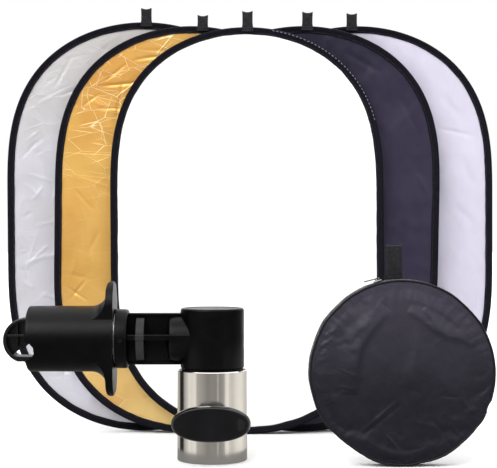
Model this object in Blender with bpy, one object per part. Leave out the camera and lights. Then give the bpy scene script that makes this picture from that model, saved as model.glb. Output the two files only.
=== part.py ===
"""Oval five-in-one reflector kit, shown as laid out for sale: five sprung discs fanned side by side,
the spring clip that holds one of them on a light stand, and the round zipped carry bag.

Metres, +Z up, seen from -Y. Every group is modelled about its own empty, and all of them hang on the
empty "kit", which puts the middle of the kit's footprint on the origin.
"""

import math

import bmesh
import bpy
from mathutils import Vector

GAP = 0.0003  # clearance between touching pieces

# Discs: one row each, from the front of the fan to the back.
# name, face colour, width, height, centre x, depth y, lean in degrees, loop offset x, loop height
DISCS = (
    ("diffuser", (0.93, 0.93, 0.93), 0.600, 0.893, -0.003, 0.000, -0.4, 0.004, 0.035),
    ("gold", (0.80, 0.50, 0.16), 0.603, 0.898, -0.127, 0.018, 0.5, 0.022, 0.025),
    ("black", (0.05, 0.04, 0.07), 0.605, 0.901, 0.120, 0.036, 1.2, 0.001, 0.031),
    ("silver", (0.68, 0.68, 0.74), 0.612, 0.912, -0.232, 0.054, -0.5, 0.008, 0.029),
    ("white", (0.73, 0.70, 0.81), 0.608, 0.906, 0.244, 0.072, 0.0, -0.012, 0.029),
)
END_SHARE = 0.835  # share of a disc's half height that its rounded end takes
END_POWER = 2.9  # how square-shouldered that end is; 2 would be an ellipse
QUARTER_STEPS = 14
RIM_WIDTH = 0.016
RIM_THICK_OUTSIDE = 0.0076
RIM_THICK_INSIDE = 0.0034
RIM_SLOT_INSIDE = 0.0012
RIM_SLOT_OUTSIDE = 0.0058
RIM_WALL = 0.0012
FACE_THICK = 0.0005
FACE_INSET = 0.006
HOOP_INSET = 0.0022
HOOP_THICK = 0.0010
HOOP_WIDTH = 0.0028
FERRULE_LENGTH = 0.030
FERRULE_WALL = 0.0004
LOOP_WIDTH = 0.022
LOOP_PLY = 0.0016
LOOP_GAP = 0.0084
LOOP_LEG = 0.010

# Clip: the steel socket stands at CLIP_AT, and its arm points along -X at ARM_Z.
CLIP_AT = (-0.0706, -0.333)
ARM_Z = 0.235
TUBE_RADIUS = 0.068
TUBE_WALL = 0.003
TUBE_HEIGHT = 0.175
STUD_RADIUS = 0.0145  # takes a 28.6 mm stand stud
STUD_DEPTH = 0.124
BOLT_RADIUS = 0.008
NUT_RADIUS = 0.0139
NUT_LOW = 0.1103
WASHER_THICK = 0.0026
HEAD_RADIUS = 0.062
HEAD_TOP = 0.2946
CAP_RADIUS = 0.052
CAP_THICK = 0.008
COLLAR_RADIUS = 0.0575
COLLAR_FRONT = -0.187
COLLAR_BACK = -0.163
WEB_HALF_HEIGHT = 0.0497
RIB_HALF_WIDTH = 0.046
RING_RADIUS = 0.044
SLEEVE_RADIUS = 0.064
SLEEVE_BORE = 0.058
SLEEVE_FRONT = -0.365
SLEEVE_BACK = -0.190
SEAT_FRONT = -0.338
SEAT_BACK = -0.328
EAR_REACH = 0.112
EAR_HALF_WIDTH = 0.050
EAR_THICK = 0.0175
HOOK_X = -0.361
HOOK_Z = 0.233
HOOK_RADIUS = 0.0435
HOOK_WALL = 0.0075
SHANK_RADIUS = 0.018
PIN_RADIUS = 0.004
PIN_X = -0.176
SPRING_RADIUS = 0.032
WIRE_RADIUS = 0.003
WIRE_SIDES = 4
SPRING_TURNS = 7
SPRING_STEPS = 10  # points in each turn
SCREW_Z = 0.081
STEM_RADIUS = 0.012
KNOB_HALF_WIDTH = 0.0735
KNOB_HALF_HEIGHT = 0.033
KNOB_BACK = 0.0845
KNOB_FRONT = 0.112
KNOB_STEPS = 32

# Bag: a flat drum on its rim, with its zip over the top and down the right.
BAG_AT = (0.290, -0.403)
BAG_RADIUS = 0.1767
BAG_HALF_WIDTH = 0.018
BAG_CLOTH = 0.002
BAG_CROWN = 0.027
PIPING_RADIUS = 0.0022
ZIP_START = 110.0
ZIP_END = -24.0
SLIDER_ANGLE = 104.5
SLIDER_HEIGHT = 0.005
PULL_HINGE = 0.0068
PULL_THICK = 0.0022
BAG_LOOP_WIDTH = 0.0285
BAG_LOOP_X = -0.0124
BAG_LOOP_RISE = 0.061

ROUND = 40


def clear_scene():
    for obj in list(bpy.data.objects):
        bpy.data.objects.remove(obj, do_unlink=True)


def material(name, colour, roughness, metallic=0.0):
    mat = bpy.data.materials.new(name)
    mat.use_nodes = True
    shader = mat.node_tree.nodes["Principled BSDF"]
    shader.inputs["Base Color"].default_value = (*colour, 1.0)
    shader.inputs["Roughness"].default_value = roughness
    shader.inputs["Metallic"].default_value = metallic
    return mat


def empty(name, parent=None, location=(0, 0, 0), lean=0.0):
    group = bpy.data.objects.new(name, None)
    bpy.context.collection.objects.link(group)
    group.parent = parent
    group.location = location
    group.rotation_euler = (0, math.radians(lean), 0)
    return group


def solid(name, bm, mat, parent, location=(0, 0, 0)):
    """Turns a closed bmesh into an object whose faces point out."""
    bmesh.ops.recalc_face_normals(bm, faces=bm.faces)
    mesh = bpy.data.meshes.new(name)
    bm.to_mesh(mesh)
    bm.free()
    mesh.materials.append(mat)
    mesh.shade_smooth()
    mesh.set_sharp_from_angle(angle=math.radians(35))
    obj = bpy.data.objects.new(name, mesh)
    bpy.context.collection.objects.link(obj)
    obj.parent = parent
    obj.location = location
    return obj


def boolean(obj, operation, bm, mat):
    """Joins the shape bm to obj, cuts it out, or keeps what they share. Returns the hidden shape."""
    name = f"{obj.name}_{operation.lower()}_{len(obj.modifiers)}"
    other = solid(name, bm, mat, obj.parent, obj.location)
    other.hide_render = True
    other.display_type = "WIRE"
    modifier = obj.modifiers.new(operation.lower(), "BOOLEAN")
    modifier.operation = operation
    modifier.solver = "EXACT"
    modifier.object = other
    return other


def placed(axis, u, v, along):
    """A point from its place along an axis and its two coordinates across it."""
    if axis == "X":
        return (along, u, v)
    if axis == "Y":
        return (u, along, v)
    return (u, v, along)


def bridge(bm, rings, closed):
    """Walls between neighbouring rings of vertices, with end caps unless the rings close on themselves."""
    pairs = list(zip(rings, rings[1:]))
    if closed:
        pairs.append((rings[-1], rings[0]))
    else:
        bm.faces.new(rings[0])
        bm.faces.new(rings[-1])
    for one, two in pairs:
        for step in range(len(one)):
            after = (step + 1) % len(one)
            bm.faces.new((one[step], one[after], two[after], two[step]))


def turned(profile, axis, hollow=False, steps=ROUND, centre=(0.0, 0.0)):
    """A body of revolution from (radius, along) points. A hollow profile closes on itself."""
    bm = bmesh.new()
    rings = []
    for radius, along in profile:
        ring = []
        for step in range(steps):
            angle = 2 * math.pi * step / steps
            u = centre[0] + radius * math.cos(angle)
            v = centre[1] + radius * math.sin(angle)
            ring.append(bm.verts.new(placed(axis, u, v, along)))
        rings.append(ring)
    bridge(bm, rings, closed=hollow)
    return bm


def prism(outline, axis, low, high):
    """An outline of points across an axis, extruded along it."""
    bm = bmesh.new()
    rings = [[bm.verts.new(placed(axis, u, v, along)) for u, v in outline] for along in (low, high)]
    bridge(bm, rings, closed=False)
    return bm


def block(low, high):
    outline = [(low[0], low[2]), (high[0], low[2]), (high[0], high[2]), (low[0], high[2])]
    return prism(outline, "Y", low[1], high[1])


def arc(radius, start, end, steps, centre=(0.0, 0.0)):
    """Points on a circular arc between two angles in degrees."""
    angles = [math.radians(start + (end - start) * step / steps) for step in range(steps + 1)]
    return [(centre[0] + radius * math.cos(a), centre[1] + radius * math.sin(a)) for a in angles]


def swept(path, across):
    """A ring that follows path. Each section has its (inset, y) points measured from the path."""
    bm = bmesh.new()
    rings = []
    for point, normal in path:
        ring = [bm.verts.new((*(point - normal * inset), y)) for inset, y in across]
        for vert in ring:
            vert.co = Vector((vert.co.x, vert.co.z, vert.co.y))
        rings.append(ring)
    bridge(bm, rings, closed=True)
    return bm


def oval(width, height):
    """(point, outward normal) round a disc's edge, in its X-Z plane.

    Each end is the curve (x / a) ** 2 + (z / b) ** END_POWER = 1, on straight sides.
    """
    a = width / 2
    b = height / 2 * END_SHARE
    straight = height / 2 - b
    quarter = []
    for step in range(QUARTER_STEPS + 1):
        turn = math.pi / 2 * step / QUARTER_STEPS
        quarter.append(Vector((a * math.cos(turn), straight + b * math.sin(turn) ** (2 / END_POWER))))
    points = list(quarter)
    points += [Vector((-p.x, p.y)) for p in reversed(quarter[:-1])]
    points += [Vector((-p.x, -p.y)) for p in quarter]
    points += [Vector((p.x, -p.y)) for p in reversed(quarter[:-1])]
    path = []
    for index, point in enumerate(points):
        along = points[(index + 1) % len(points)] - points[index - 1]
        path.append((point, Vector((along.y, -along.x)).normalized()))
    return path


def lowest_reach(path, lean):
    """How far below its centre a leaning disc reaches."""
    sine = math.sin(math.radians(lean))
    cosine = math.cos(math.radians(lean))
    return max(sine * point.x - cosine * point.y for point, _ in path)


def webbing_loop(width, gap, ply, low, high):
    """A folded strap: two plies, low to high, joined by a round fold at the top."""
    middle = gap / 2 + ply / 2
    crown = high - middle - ply / 2
    outer = arc(gap / 2 + ply, 180, 0, 6, (0.0, crown))
    inner = arc(gap / 2, 0, 180, 6, (0.0, crown))
    outline = [(-gap / 2 - ply, low)] + outer + [(gap / 2 + ply, low), (gap / 2, low)] + inner
    outline.append((-gap / 2, low))
    return prism(outline, "X", -width / 2, width / 2)


def ferrule():
    """The square sleeve that joins the two ends of a hoop's strip, standing on the strip's middle."""
    bm = bmesh.new()
    rings = []
    for along, wall in (
        (-FERRULE_LENGTH / 2, FERRULE_WALL),
        (FERRULE_LENGTH / 2, FERRULE_WALL),
        (FERRULE_LENGTH / 2, 0.0),
        (-FERRULE_LENGTH / 2, 0.0),
    ):
        x = HOOP_THICK / 2 + GAP + wall
        y = HOOP_WIDTH / 2 + GAP + wall
        corners = ((-x, -y), (x, -y), (x, y), (-x, y))
        rings.append([bm.verts.new((u, v, along)) for u, v in corners])
    bridge(bm, rings, closed=True)
    return bm


def build_disc(row, kit, cloth, metal):
    name, colour, width, height, x, y, lean, loop_x, loop_height = row
    path = oval(width, height)
    disc = empty(f"{name}_disc", kit, (x, y, lowest_reach(path, lean)), lean)
    face = material(f"{name}_face", colour, 0.35 if name in ("gold", "silver") else 0.8)
    binding = (
        (0.0, RIM_THICK_OUTSIDE / 2),
        (RIM_WIDTH, RIM_THICK_INSIDE / 2),
        (RIM_WIDTH, RIM_SLOT_INSIDE / 2),
        (RIM_WALL, RIM_SLOT_OUTSIDE / 2),
        (RIM_WALL, -RIM_SLOT_OUTSIDE / 2),
        (RIM_WIDTH, -RIM_SLOT_INSIDE / 2),
        (RIM_WIDTH, -RIM_THICK_INSIDE / 2),
        (0.0, -RIM_THICK_OUTSIDE / 2),
    )
    solid(f"{name}_binding", swept(path, binding), cloth, disc)
    edge = [point - normal * FACE_INSET for point, normal in path]
    outline = [(point.x, point.y) for point in edge]
    solid(f"{name}_face_cloth", prism(outline, "Y", -FACE_THICK / 2, FACE_THICK / 2), face, disc)
    hoop = (
        (HOOP_INSET, HOOP_WIDTH / 2),
        (HOOP_INSET + HOOP_THICK, HOOP_WIDTH / 2),
        (HOOP_INSET + HOOP_THICK, -HOOP_WIDTH / 2),
        (HOOP_INSET, -HOOP_WIDTH / 2),
    )
    solid(f"{name}_spring_hoop", swept(path, hoop), metal, disc)
    strip_middle = width / 2 - HOOP_INSET - HOOP_THICK / 2
    solid(f"{name}_hoop_ferrule", ferrule(), metal, disc, (strip_middle, 0, 0))
    # The rim's top edge falls away a little where the loop is sewn off centre.
    b = height / 2 * END_SHARE
    rim_top = height / 2 - b + b * (1 - (2 * loop_x / width) ** 2) ** (1 / END_POWER)
    loop = webbing_loop(LOOP_WIDTH, LOOP_GAP, LOOP_PLY, rim_top - LOOP_LEG, rim_top + loop_height)
    solid(f"{name}_hang_loop", loop, cloth, disc, (loop_x, 0, 0))


def build_socket(clip, steel, plastic, brass):
    tube = turned(
        (
            (TUBE_RADIUS, 0.0),
            (TUBE_RADIUS, TUBE_HEIGHT),
            (TUBE_RADIUS - TUBE_WALL, TUBE_HEIGHT),
            (TUBE_RADIUS - TUBE_WALL, 0.0),
        ),
        "Z",
        hollow=True,
    )
    tube = solid("socket_tube", tube, steel, clip)
    screw_hole = turned(((0.0163, -0.085), (0.0163, -0.055)), "Y", centre=(0.0, SCREW_Z), steps=24)
    boolean(tube, "DIFFERENCE", screw_hole, steel)
    core_radius = TUBE_RADIUS - TUBE_WALL - GAP
    core = turned(
        (
            (core_radius, 0.0),
            (core_radius, TUBE_HEIGHT - GAP),
            (BOLT_RADIUS + GAP, TUBE_HEIGHT - GAP),
            (BOLT_RADIUS + GAP, STUD_DEPTH),
            (STUD_RADIUS, STUD_DEPTH),
            (STUD_RADIUS, 0.0),
        ),
        "Z",
        hollow=True,
    )
    core = solid("socket_core", core, plastic, clip)
    bush_hole = turned(((0.014, -0.075), (0.014, -0.008)), "Y", centre=(0.0, SCREW_Z), steps=24)
    boolean(core, "DIFFERENCE", bush_hole, plastic)
    bush_bore = STEM_RADIUS + GAP
    bush = turned(
        (
            (bush_bore, -0.030),
            (0.0137, -0.030),
            (0.0137, -0.0686),
            (0.022, -0.0686),
            (0.022, -0.078),
            (bush_bore, -0.078),
        ),
        "Y",
        hollow=True,
        steps=24,
    )
    solid("screw_bush", bush, brass, clip, (0, 0, SCREW_Z))
    washer_low = TUBE_HEIGHT + GAP
    washer = turned(
        (
            (0.060, washer_low),
            (0.060, washer_low + WASHER_THICK),
            (BOLT_RADIUS + GAP, washer_low + WASHER_THICK),
            (BOLT_RADIUS + GAP, washer_low),
        ),
        "Z",
        hollow=True,
    )
    solid("friction_washer", washer, plastic, clip)
    bolt = turned(
        ((BOLT_RADIUS, 0.1115), (BOLT_RADIUS, 0.2623), (0.014, 0.2623), (0.014, 0.272)),
        "Z",
        steps=24,
    )
    solid("pivot_bolt", bolt, steel, clip)
    nut = turned(((NUT_RADIUS, NUT_LOW), (NUT_RADIUS, STUD_DEPTH - GAP)), "Z", steps=6)
    nut = solid("pivot_nut", nut, steel, clip)
    bolt_hole = turned(((BOLT_RADIUS + GAP, 0.10), (BOLT_RADIUS + GAP, 0.13)), "Z", steps=24)
    boolean(nut, "DIFFERENCE", bolt_hole, steel)


def pin_hole():
    """The cross hole through the collar and the shank that the pin is driven into."""
    profile = ((PIN_RADIUS + GAP, -0.07), (PIN_RADIUS + GAP, 0.07))
    return turned(profile, "Y", centre=(PIN_X, ARM_Z), steps=16)


def build_arm(clip, plastic, steel):
    """The swivelling moulding: a round head over the socket, a cross-ribbed arm and a round collar."""
    low = TUBE_HEIGHT + WASHER_THICK + 2 * GAP + 0.0004
    shelf = HEAD_TOP - CAP_THICK - 0.0006
    head = turned(
        (
            (HEAD_RADIUS - 0.003, low),
            (HEAD_RADIUS, low + 0.003),
            (HEAD_RADIUS, HEAD_TOP - 0.003),
            (HEAD_RADIUS - 0.003, HEAD_TOP),
            (CAP_RADIUS, HEAD_TOP),
            (CAP_RADIUS, shelf),
            (0.016, shelf),
            (0.016, 0.262),
            (BOLT_RADIUS + GAP, 0.262),
            (BOLT_RADIUS + GAP, low),
        ),
        "Z",
        hollow=True,
    )
    arm = solid("swivel_arm", head, plastic, clip)
    at = (0.0, ARM_Z)
    web = block((-0.180, -0.005, ARM_Z - WEB_HALF_HEIGHT), (-0.040, 0.005, ARM_Z + WEB_HALF_HEIGHT))
    rib = block((-0.179, -RIB_HALF_WIDTH, ARM_Z - 0.0004), (-0.041, RIB_HALF_WIDTH, ARM_Z + 0.0104))
    ring = turned(((RING_RADIUS, -0.147), (RING_RADIUS, -0.131)), "X", centre=at)
    cone = ((RING_RADIUS, -0.083), (RING_RADIUS + 0.001, -0.075), (0.047, -0.032))
    root = turned(cone, "X", centre=at)
    collar = turned(
        (
            (COLLAR_RADIUS, COLLAR_FRONT),
            (COLLAR_RADIUS, COLLAR_BACK - 0.004),
            (COLLAR_RADIUS - 0.004, COLLAR_BACK),
        ),
        "X",
        centre=at,
    )
    for shape in (web, rib, ring, root, collar):
        boolean(arm, "UNION", shape, plastic)
    shank_hole = ((SHANK_RADIUS + GAP, -0.190), (SHANK_RADIUS + GAP, -0.1665))
    boolean(arm, "DIFFERENCE", turned(shank_hole, "X", centre=at, steps=24), plastic)
    boolean(arm, "DIFFERENCE", pin_hole(), plastic)
    cap = turned(
        (
            (CAP_RADIUS - GAP, shelf + GAP),
            (CAP_RADIUS - GAP, shelf + CAP_THICK - 0.001),
            (CAP_RADIUS - GAP - 0.001, shelf + CAP_THICK),
        ),
        "Z",
    )
    solid("head_cap", cap, plastic, clip)
    pin = turned(((PIN_RADIUS, -0.056), (PIN_RADIUS, 0.056)), "Y", centre=(PIN_X, ARM_Z), steps=16)
    solid("shank_pin", pin, steel, clip)


def build_hook(clip, plastic):
    """The fixed jaw: a domed C with a web and a cross rib, on a round shank."""
    at = (HOOK_X, HOOK_Z)
    inner = HOOK_RADIUS - HOOK_WALL
    band = arc(HOOK_RADIUS, 75, 248, 16, at) + arc(inner, 248, 75, 16, at)
    hook = solid("hook", prism(band, "Y", -0.026, 0.026), plastic, clip)
    jaw = ((-0.0113, -0.0162), (-0.0016, -0.0127), (0.0033, -0.008), (0.022, -0.008), (0.022, 0.026))
    web = arc(inner + HOOK_WALL / 2, 75, 226, 12, at) + [(at[0] + u, at[1] + v) for u, v in jaw]
    boolean(hook, "UNION", prism(web, "Y", -0.008, 0.008), plastic)
    lip = ((-0.024, -0.029), (-0.014, -0.031), (0.011, -0.0315), (0.011, -0.037))
    lip += ((0.004, -0.041), (-0.016, -0.0408), (-0.026, -0.033))
    lip = [(at[0] + u, at[1] + v) for u, v in lip]
    boolean(hook, "UNION", prism(lip, "Y", -0.024, 0.024), plastic)
    rib = block((at[0] - 0.040, -0.0245, at[1] + 0.0065), (at[0] + 0.020, 0.0245, at[1] + 0.0115))
    boolean(hook, "UNION", rib, plastic)
    shank = turned(((SHANK_RADIUS, -0.3425), (SHANK_RADIUS, -0.1673)), "X", centre=(0.0, ARM_Z), steps=24)
    boolean(hook, "UNION", shank, plastic)
    boolean(hook, "DIFFERENCE", pin_hole(), plastic)


def build_sleeve(clip, plastic):
    """The sliding jaw: a tube with two finger ears at the back and a notch for the rim at the front."""
    at = (0.0, ARM_Z)
    tube = turned(
        (
            (SLEEVE_BORE, SLEEVE_FRONT),
            (SLEEVE_RADIUS - 0.003, SLEEVE_FRONT),
            (SLEEVE_RADIUS, SLEEVE_FRONT + 0.004),
            (SLEEVE_RADIUS, SLEEVE_BACK),
            (SHANK_RADIUS + 0.0005, SLEEVE_BACK),
            (SHANK_RADIUS + 0.0005, SEAT_FRONT),
            (SLEEVE_BORE, SEAT_FRONT),
        ),
        "X",
        hollow=True,
        centre=at,
    )
    sleeve = solid("sleeve", tube, plastic, clip)
    face = SLEEVE_BACK - EAR_THICK
    fillet = 0.030
    upper = [(SLEEVE_BACK, EAR_REACH - 0.003), (SLEEVE_BACK - 0.003, EAR_REACH), (face + 0.004, EAR_REACH)]
    upper += [(face, EAR_REACH - 0.004)]
    upper += arc(fillet, 0, -90, 6, (face - fillet, SLEEVE_RADIUS - 0.002 + fillet))
    lower = [(x, -z) for x, z in reversed(upper)]
    side_view = [(x, ARM_Z + z) for x, z in upper + lower]
    ears = boolean(sleeve, "UNION", prism(side_view, "Y", -0.06, 0.06), plastic)
    straight = EAR_REACH - EAR_HALF_WIDTH
    end_view = arc(EAR_HALF_WIDTH, 0, 180, 12, (0.0, ARM_Z + straight))
    end_view += arc(EAR_HALF_WIDTH, 180, 360, 12, (0.0, ARM_Z - straight))
    boolean(ears, "INTERSECT", prism(end_view, "X", -0.26, -0.17), plastic)
    bore = turned(((SLEEVE_BORE, SEAT_BACK), (SLEEVE_BORE, -0.17)), "X", centre=at)
    boolean(sleeve, "DIFFERENCE", bore, plastic)
    notch = ((-0.011, 0.0), (0.001, -0.003), (0.013, -0.007), (0.0185, -0.015))
    notch += ((0.018, -0.026), (0.016, -0.032), (0.011, -0.035), (-0.011, -0.039))
    notch = [(HOOK_X + u, HOOK_Z + v) for u, v in notch]
    boolean(sleeve, "DIFFERENCE", prism(notch, "Y", -0.08, 0.08), plastic)


def build_spring(clip, steel):
    """The return spring, between the sleeve's inner seat and the washer on the collar."""
    washer = turned(
        (
            (0.050, COLLAR_FRONT - 0.0023),
            (0.050, COLLAR_FRONT - GAP),
            (SHANK_RADIUS + 0.0005, COLLAR_FRONT - GAP),
            (SHANK_RADIUS + 0.0005, COLLAR_FRONT - 0.0023),
        ),
        "X",
        hollow=True,
        steps=32,
        centre=(0.0, ARM_Z),
    )
    solid("spring_washer", washer, steel, clip)
    low = SEAT_BACK + WIRE_RADIUS + GAP
    high = COLLAR_FRONT - 0.0023 - WIRE_RADIUS - GAP
    steps = SPRING_TURNS * SPRING_STEPS
    bm = bmesh.new()
    rings = []
    for step in range(steps + 1):
        turn = 2 * math.pi * step / SPRING_STEPS
        along = low + (high - low) * step / steps
        ring = []
        for side in range(WIRE_SIDES):
            angle = 2 * math.pi * side / WIRE_SIDES
            radius = SPRING_RADIUS + WIRE_RADIUS * math.cos(angle)
            x = along + WIRE_RADIUS * math.sin(angle)
            ring.append(bm.verts.new((x, radius * math.cos(turn), ARM_Z + radius * math.sin(turn))))
        rings.append(ring)
    bridge(bm, rings, closed=False)
    solid("return_spring", bm, steel, clip)


def build_thumb_screw(clip, plastic, steel, nylon):
    """The locking screw on the front of the socket, and the pad that it pushes on the stud."""
    screw = empty("thumb_screw", clip, (0, 0, SCREW_Z))
    pad = turned(((0.009, -0.015), (0.010, -0.016), (0.010, -0.021)), "Y", steps=24)
    solid("pressure_pad", pad, nylon, screw)
    stem_end = -0.100
    stem = turned(((STEM_RADIUS, -0.0213), (STEM_RADIUS, stem_end)), "Y", steps=24)
    solid("screw_stem", stem, steel, screw)
    sections = ((0.0, 0.62), (0.13, 0.82), (0.30, 0.95), (0.50, 1.0))
    sections += ((0.66, 0.985), (0.84, 0.93), (0.95, 0.82), (1.0, 0.68))
    bm = bmesh.new()
    rings = []
    for share, size in sections:
        y = -KNOB_BACK - (KNOB_FRONT - KNOB_BACK) * share
        ring = []
        for step in range(KNOB_STEPS):
            turn = 2 * math.pi * step / KNOB_STEPS
            x = (KNOB_HALF_WIDTH - (1 - size) * KNOB_HALF_HEIGHT) * math.cos(turn)
            z = KNOB_HALF_HEIGHT * size * math.sin(turn)
            ring.append(bm.verts.new((x, y, z)))
        rings.append(ring)
    bridge(bm, rings, closed=False)
    knob = solid("screw_knob", bm, plastic, screw)
    stem_hole = ((STEM_RADIUS + GAP, -0.08), (STEM_RADIUS + GAP, stem_end - GAP))
    boolean(knob, "DIFFERENCE", turned(stem_hole, "Y", steps=24), plastic)


def arc_band(start, end, inner, outer, half_width, steps):
    outline = arc(outer, start, end, steps) + arc(inner, end, start, steps)
    return prism(outline, "Y", -half_width, half_width)


def build_bag(kit, nylon, tape, metal):
    bag = empty("bag", kit, (*BAG_AT, BAG_RADIUS))
    for name, side in (("front", -1), ("back", 1)):
        edge = BAG_RADIUS - BAG_CLOTH - 2 * PIPING_RADIUS - 2 * GAP
        shoulder = BAG_CROWN - 0.0015
        panel = turned(
            (
                (0.070, side * BAG_CROWN),
                (0.130, side * shoulder),
                (edge, side * 0.0205),
                (edge, side * 0.0187),
                (0.130, side * (shoulder - BAG_CLOTH)),
                (0.070, side * (BAG_CROWN - BAG_CLOTH)),
            ),
            "Y",
            steps=48,
        )
        solid(f"bag_{name}_panel", panel, nylon, bag)
        middle = BAG_RADIUS - BAG_CLOTH - GAP
        piping_y = side * (BAG_HALF_WIDTH + PIPING_RADIUS + GAP)
        piping = turned(
            (
                (middle + PIPING_RADIUS, piping_y),
                (middle, piping_y + PIPING_RADIUS),
                (middle - PIPING_RADIUS, piping_y),
                (middle, piping_y - PIPING_RADIUS),
            ),
            "Y",
            hollow=True,
            steps=48,
        )
        solid(f"bag_{name}_piping", piping, nylon, bag)
    inner = BAG_RADIUS - BAG_CLOTH
    clear = 0.1  # degrees between the zip and the gusset
    gusset = arc_band(ZIP_START + clear, ZIP_END + 360 - clear, inner, BAG_RADIUS, BAG_HALF_WIDTH, 38)
    solid("bag_gusset", gusset, nylon, bag)
    zip_tape = arc_band(ZIP_END + clear, ZIP_START - clear, inner, BAG_RADIUS, BAG_HALF_WIDTH, 24)
    solid("bag_zip", zip_tape, tape, bag)
    # The pull lies back along the rim from its hinge above the slider.
    slider = block((-0.008, -0.0065, 0.0), (0.008, 0.0065, SLIDER_HEIGHT))
    pull = block((-0.030, -0.0045, -PULL_THICK / 2), (0.0, 0.0045, PULL_THICK / 2))
    turn = math.radians(SLIDER_ANGLE)
    for name, shape, out in (
        ("zip_slider", slider, BAG_RADIUS + GAP),
        ("zip_pull", pull, BAG_RADIUS + PULL_HINGE),
    ):
        piece = solid(name, shape, metal, bag)
        piece.location = (out * math.cos(turn), 0, out * math.sin(turn))
        piece.rotation_euler = (0, math.pi / 2 - turn, 0)
    loop = webbing_loop(BAG_LOOP_WIDTH, 0.006, LOOP_PLY, BAG_RADIUS - 0.022, BAG_RADIUS + BAG_LOOP_RISE)
    solid("bag_hang_loop", loop, tape, bag, (BAG_LOOP_X, 0.0278, 0))


def stand_on_origin(kit):
    """Moves the kit so that the middle of its footprint is on the origin."""
    bpy.context.view_layer.update()
    graph = bpy.context.evaluated_depsgraph_get()
    corners = []
    for obj in bpy.data.objects:
        if obj.type != "MESH" or obj.hide_render:
            continue
        mesh = obj.evaluated_get(graph).to_mesh()
        corners += [obj.matrix_world @ vert.co for vert in mesh.vertices]
    for axis in range(2):
        values = [corner[axis] for corner in corners]
        kit.location[axis] = -(min(values) + max(values)) / 2


def main():
    clear_scene()
    cloth = material("black_webbing", (0.025, 0.023, 0.030), 0.85)
    plastic = material("black_moulding", (0.022, 0.022, 0.024), 0.45)
    gloss = material("knob_moulding", (0.012, 0.012, 0.014), 0.18)
    steel = material("brushed_steel", (0.72, 0.70, 0.66), 0.28, 1.0)
    spring_steel = material("spring_steel", (0.45, 0.46, 0.48), 0.35, 1.0)
    brass = material("brass", (0.78, 0.60, 0.30), 0.35, 1.0)
    nylon = material("white_nylon", (0.80, 0.80, 0.78), 0.5)
    bag_cloth = material("bag_nylon", (0.045, 0.042, 0.055), 0.7)
    kit = empty("kit")
    for row in DISCS:
        build_disc(row, kit, cloth, spring_steel)
    clip = empty("clip", kit, (*CLIP_AT, 0))
    build_socket(clip, steel, plastic, brass)
    build_arm(clip, plastic, spring_steel)
    build_hook(clip, plastic)
    build_sleeve(clip, plastic)
    build_spring(clip, spring_steel)
    build_thumb_screw(clip, gloss, spring_steel, nylon)
    build_bag(kit, bag_cloth, cloth, spring_steel)
    stand_on_origin(kit)


main()
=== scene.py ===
"""Looks of the reflector kit: cloth, tape, foil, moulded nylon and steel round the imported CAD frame."""

import math
import random

import bmesh
import bpy
import numpy as np
from mathutils import Matrix, Vector, noise


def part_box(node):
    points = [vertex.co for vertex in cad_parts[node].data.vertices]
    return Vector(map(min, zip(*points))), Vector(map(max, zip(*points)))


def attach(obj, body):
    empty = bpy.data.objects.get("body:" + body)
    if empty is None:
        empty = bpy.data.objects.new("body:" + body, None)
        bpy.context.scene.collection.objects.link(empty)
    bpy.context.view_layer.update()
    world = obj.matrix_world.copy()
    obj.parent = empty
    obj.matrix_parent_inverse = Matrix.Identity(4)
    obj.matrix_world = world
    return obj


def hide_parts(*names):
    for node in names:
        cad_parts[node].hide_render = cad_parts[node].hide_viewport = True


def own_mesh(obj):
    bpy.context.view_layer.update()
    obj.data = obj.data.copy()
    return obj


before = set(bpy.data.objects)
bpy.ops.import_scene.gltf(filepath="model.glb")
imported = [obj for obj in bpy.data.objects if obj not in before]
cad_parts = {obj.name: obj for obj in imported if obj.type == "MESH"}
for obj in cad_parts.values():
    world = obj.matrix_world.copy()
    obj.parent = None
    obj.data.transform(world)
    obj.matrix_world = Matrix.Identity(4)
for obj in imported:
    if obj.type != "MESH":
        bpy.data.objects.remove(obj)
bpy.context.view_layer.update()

# name, width, height, lean in degrees, sideways offset of its loop from its middle
DISCS = (
    ("diffuser", 0.600, 0.893, -0.4, 0.004),
    ("gold", 0.603, 0.898, 0.5, 0.022),
    ("black", 0.605, 0.901, 1.2, 0.001),
    ("silver", 0.612, 0.912, -0.5, 0.008),
    ("white", 0.608, 0.906, 0.0, -0.012),
)
# The discs' outline: straight sides, and superellipse ends over this share of the height
END_SHARE, END_POWER = 0.835, 2.9
# Lengths in metres
CLOTH_INSET = 0.010
RIM_WIDTH = 0.016
RIM_STEPS = 420
STRAP_THICK = 0.0016
ARM_Z = 0.235
ARM_AXIS = (0.0, ARM_Z)
HOOK_MIDDLE = (-0.361, 0.233)
PIN_X = -0.176
TUBE_RADIUS = 0.068
SCREW_Z = 0.081
BAG_RADIUS = 0.1767
PANEL_RADIUS, WELT_RADIUS, BAND_RADIUS, TEETH_RADIUS = 0.1738, 0.1742, 0.1753, 0.1757
CARD_RADIUS = 0.175
CAMERA_GAP, CAMERA_Z = 3.0, 0.439
# The share of spare cloth in a bag panel, the frames it hangs, and the slider's place round the rim in degrees
BAG_SLACK, HANG_FRAMES, SLIDER_TURN = 0.009, 26, 104.5
LENS = 99.0
TAU = 2 * math.pi
ROOM_LEVEL, TOP_LEVEL, KEY_LEVEL, FILL_LEVEL = 0.28, 1.7, 5.6, 1.5


# ---------------------------------------------------------------- materials


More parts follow.
